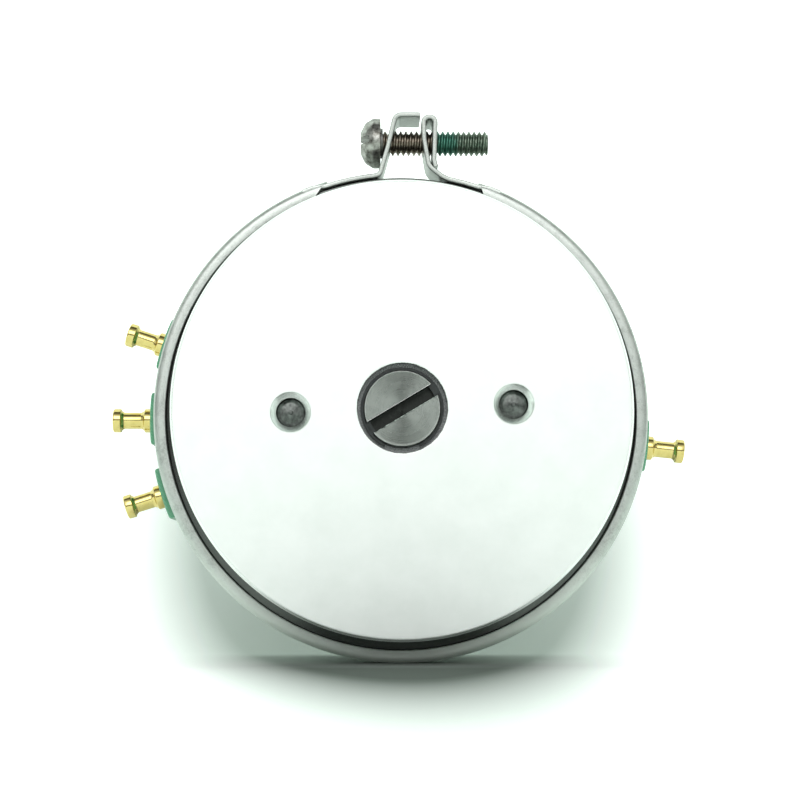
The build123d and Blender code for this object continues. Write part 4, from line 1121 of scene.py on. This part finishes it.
def make_housing(material):
    bore_r = BODY_R - WALL
    corners = [
        (LID_DEPTH, bore_r, 0.05), (LID_DEPTH, BODY_R, 0.06), (JOINT - FLANGE_THICKNESS, BODY_R, 0.1),
        (JOINT - FLANGE_THICKNESS, FLANGE_R, 0.1), (JOINT, FLANGE_R, 0.05), (JOINT, bore_r, 0.05)]
    tube = turned("tube", rounded(corners))
    cutters = []
    for number in range(1, 5):
        tip, direction = turret(number)
        outline = [(10, 0), (10, HOUSING_WINDOW_R), (22, HOUSING_WINDOW_R), (22, 0)]
        cutters.append(turned("window", outline, axis_frame((0, tip.y, 0), direction), 64, closed=False))
    head_r = LID_SCREW_HEAD_R
    sink = [(10, 0), (10, LID_SCREW_R), (BODY_R - 0.5, LID_SCREW_R), (BODY_R - FIT, head_r),
            (BODY_R + 0.5, head_r + FIT), (BODY_R + 0.5, 0)]
    for angle in (90, 210, 330):
        p = polar(1, angle)
        axis = axis_frame((0, -LID_DEPTH - LID_SCREW_SETBACK, 0), (p.x, 0, p.y))
        cutters.append(turned("sink", sink, axis, 64, closed=False))
    cut(tube, cutters)
    finish(tube, material, "stator", ["housing"])


# ---- Make everything ----

make_camera()
make_floor()
make_light()

bright = plain_metal("bright_burr", (0.4, 0.41, 0.4), (0.85, 0.87, 0.85), 0.15, 0.3, 0.3)
steel = plain_metal("ground_steel", (0.2, 0.205, 0.21), (0.34, 0.345, 0.35), 0.2, 0.34)
materials = {
    "cover_aluminium": satin_aluminium(),
    "body_aluminium": turned_aluminium(),
    "band_steel": rolled_steel(),
    "screw_steel": worn_screw_steel(),
    "washer_steel": plain_metal("washer_steel", (0.12, 0.12, 0.11), (0.3, 0.3, 0.29), 0.35, 0.5),
    "lid_screw_steel": plain_metal("lid_screw_steel", (0.3, 0.3, 0.29), (0.55, 0.55, 0.54), 0.22, 0.38),
    "shaft_steel": faced_shaft_steel(),
    "bearing_steel": steel,
    "ball_steel": plain_metal("ball_steel", (0.68, 0.68, 0.7), (0.78, 0.78, 0.8), 0.03, 0.08, 0.8, 0.0005),
    "cage_brass": plain_metal("cage_brass", (0.45, 0.3, 0.11), (0.72, 0.53, 0.24), 0.25, 0.42),
    "spring_steel": plain_metal("spring_steel", (0.025, 0.027, 0.027), (0.075, 0.08, 0.08), 0.3, 0.45),
    "pin_steel": dark_pin_steel(),
    "spacer_steel": plain_metal("spacer_steel", (0.4, 0.4, 0.41), (0.56, 0.57, 0.57), 0.22, 0.35),
    "pad_laminate": green_laminate(),
    "gold": gold_plate(),
    "element_insulation": moulding("element_insulation", (0.02, 0.022, 0.02), (0.05, 0.055, 0.05)),
    "resistance_wire": wound_wire(),
    "hub_insulation": moulding("hub_insulation", (0.07, 0.025, 0.01), (0.2, 0.09, 0.035), 0.4),
    "pickup_insulation": moulding("pickup_insulation", (0.03, 0.16, 0.08), (0.09, 0.3, 0.17), 0.4),
    "contact_alloy": plain_metal("contact_alloy", (0.5, 0.34, 0.13), (0.74, 0.56, 0.27), 0.2, 0.34),
    "lead_copper": plain_metal("lead_copper", (0.5, 0.46, 0.42), (0.72, 0.68, 0.63), 0.25, 0.4),
}
for part in frame["record"]["subparts"]:
    node = frame["nodes"][part["node"]]
    node.data.materials.clear()
    node.data.materials.append(materials[part["material_slot"]])

make_rear_cover(materials["cover_aluminium"])
make_pins(materials["pin_steel"])
make_shaft(materials["shaft_steel"])
make_slot_burrs(bright)
make_band(materials["band_steel"])
make_screw(materials["screw_steel"])
make_terminals(materials["gold"])
make_pads(materials["pad_laminate"])
make_front_lid(materials["body_aluminium"])
make_housing(materials["body_aluminium"])
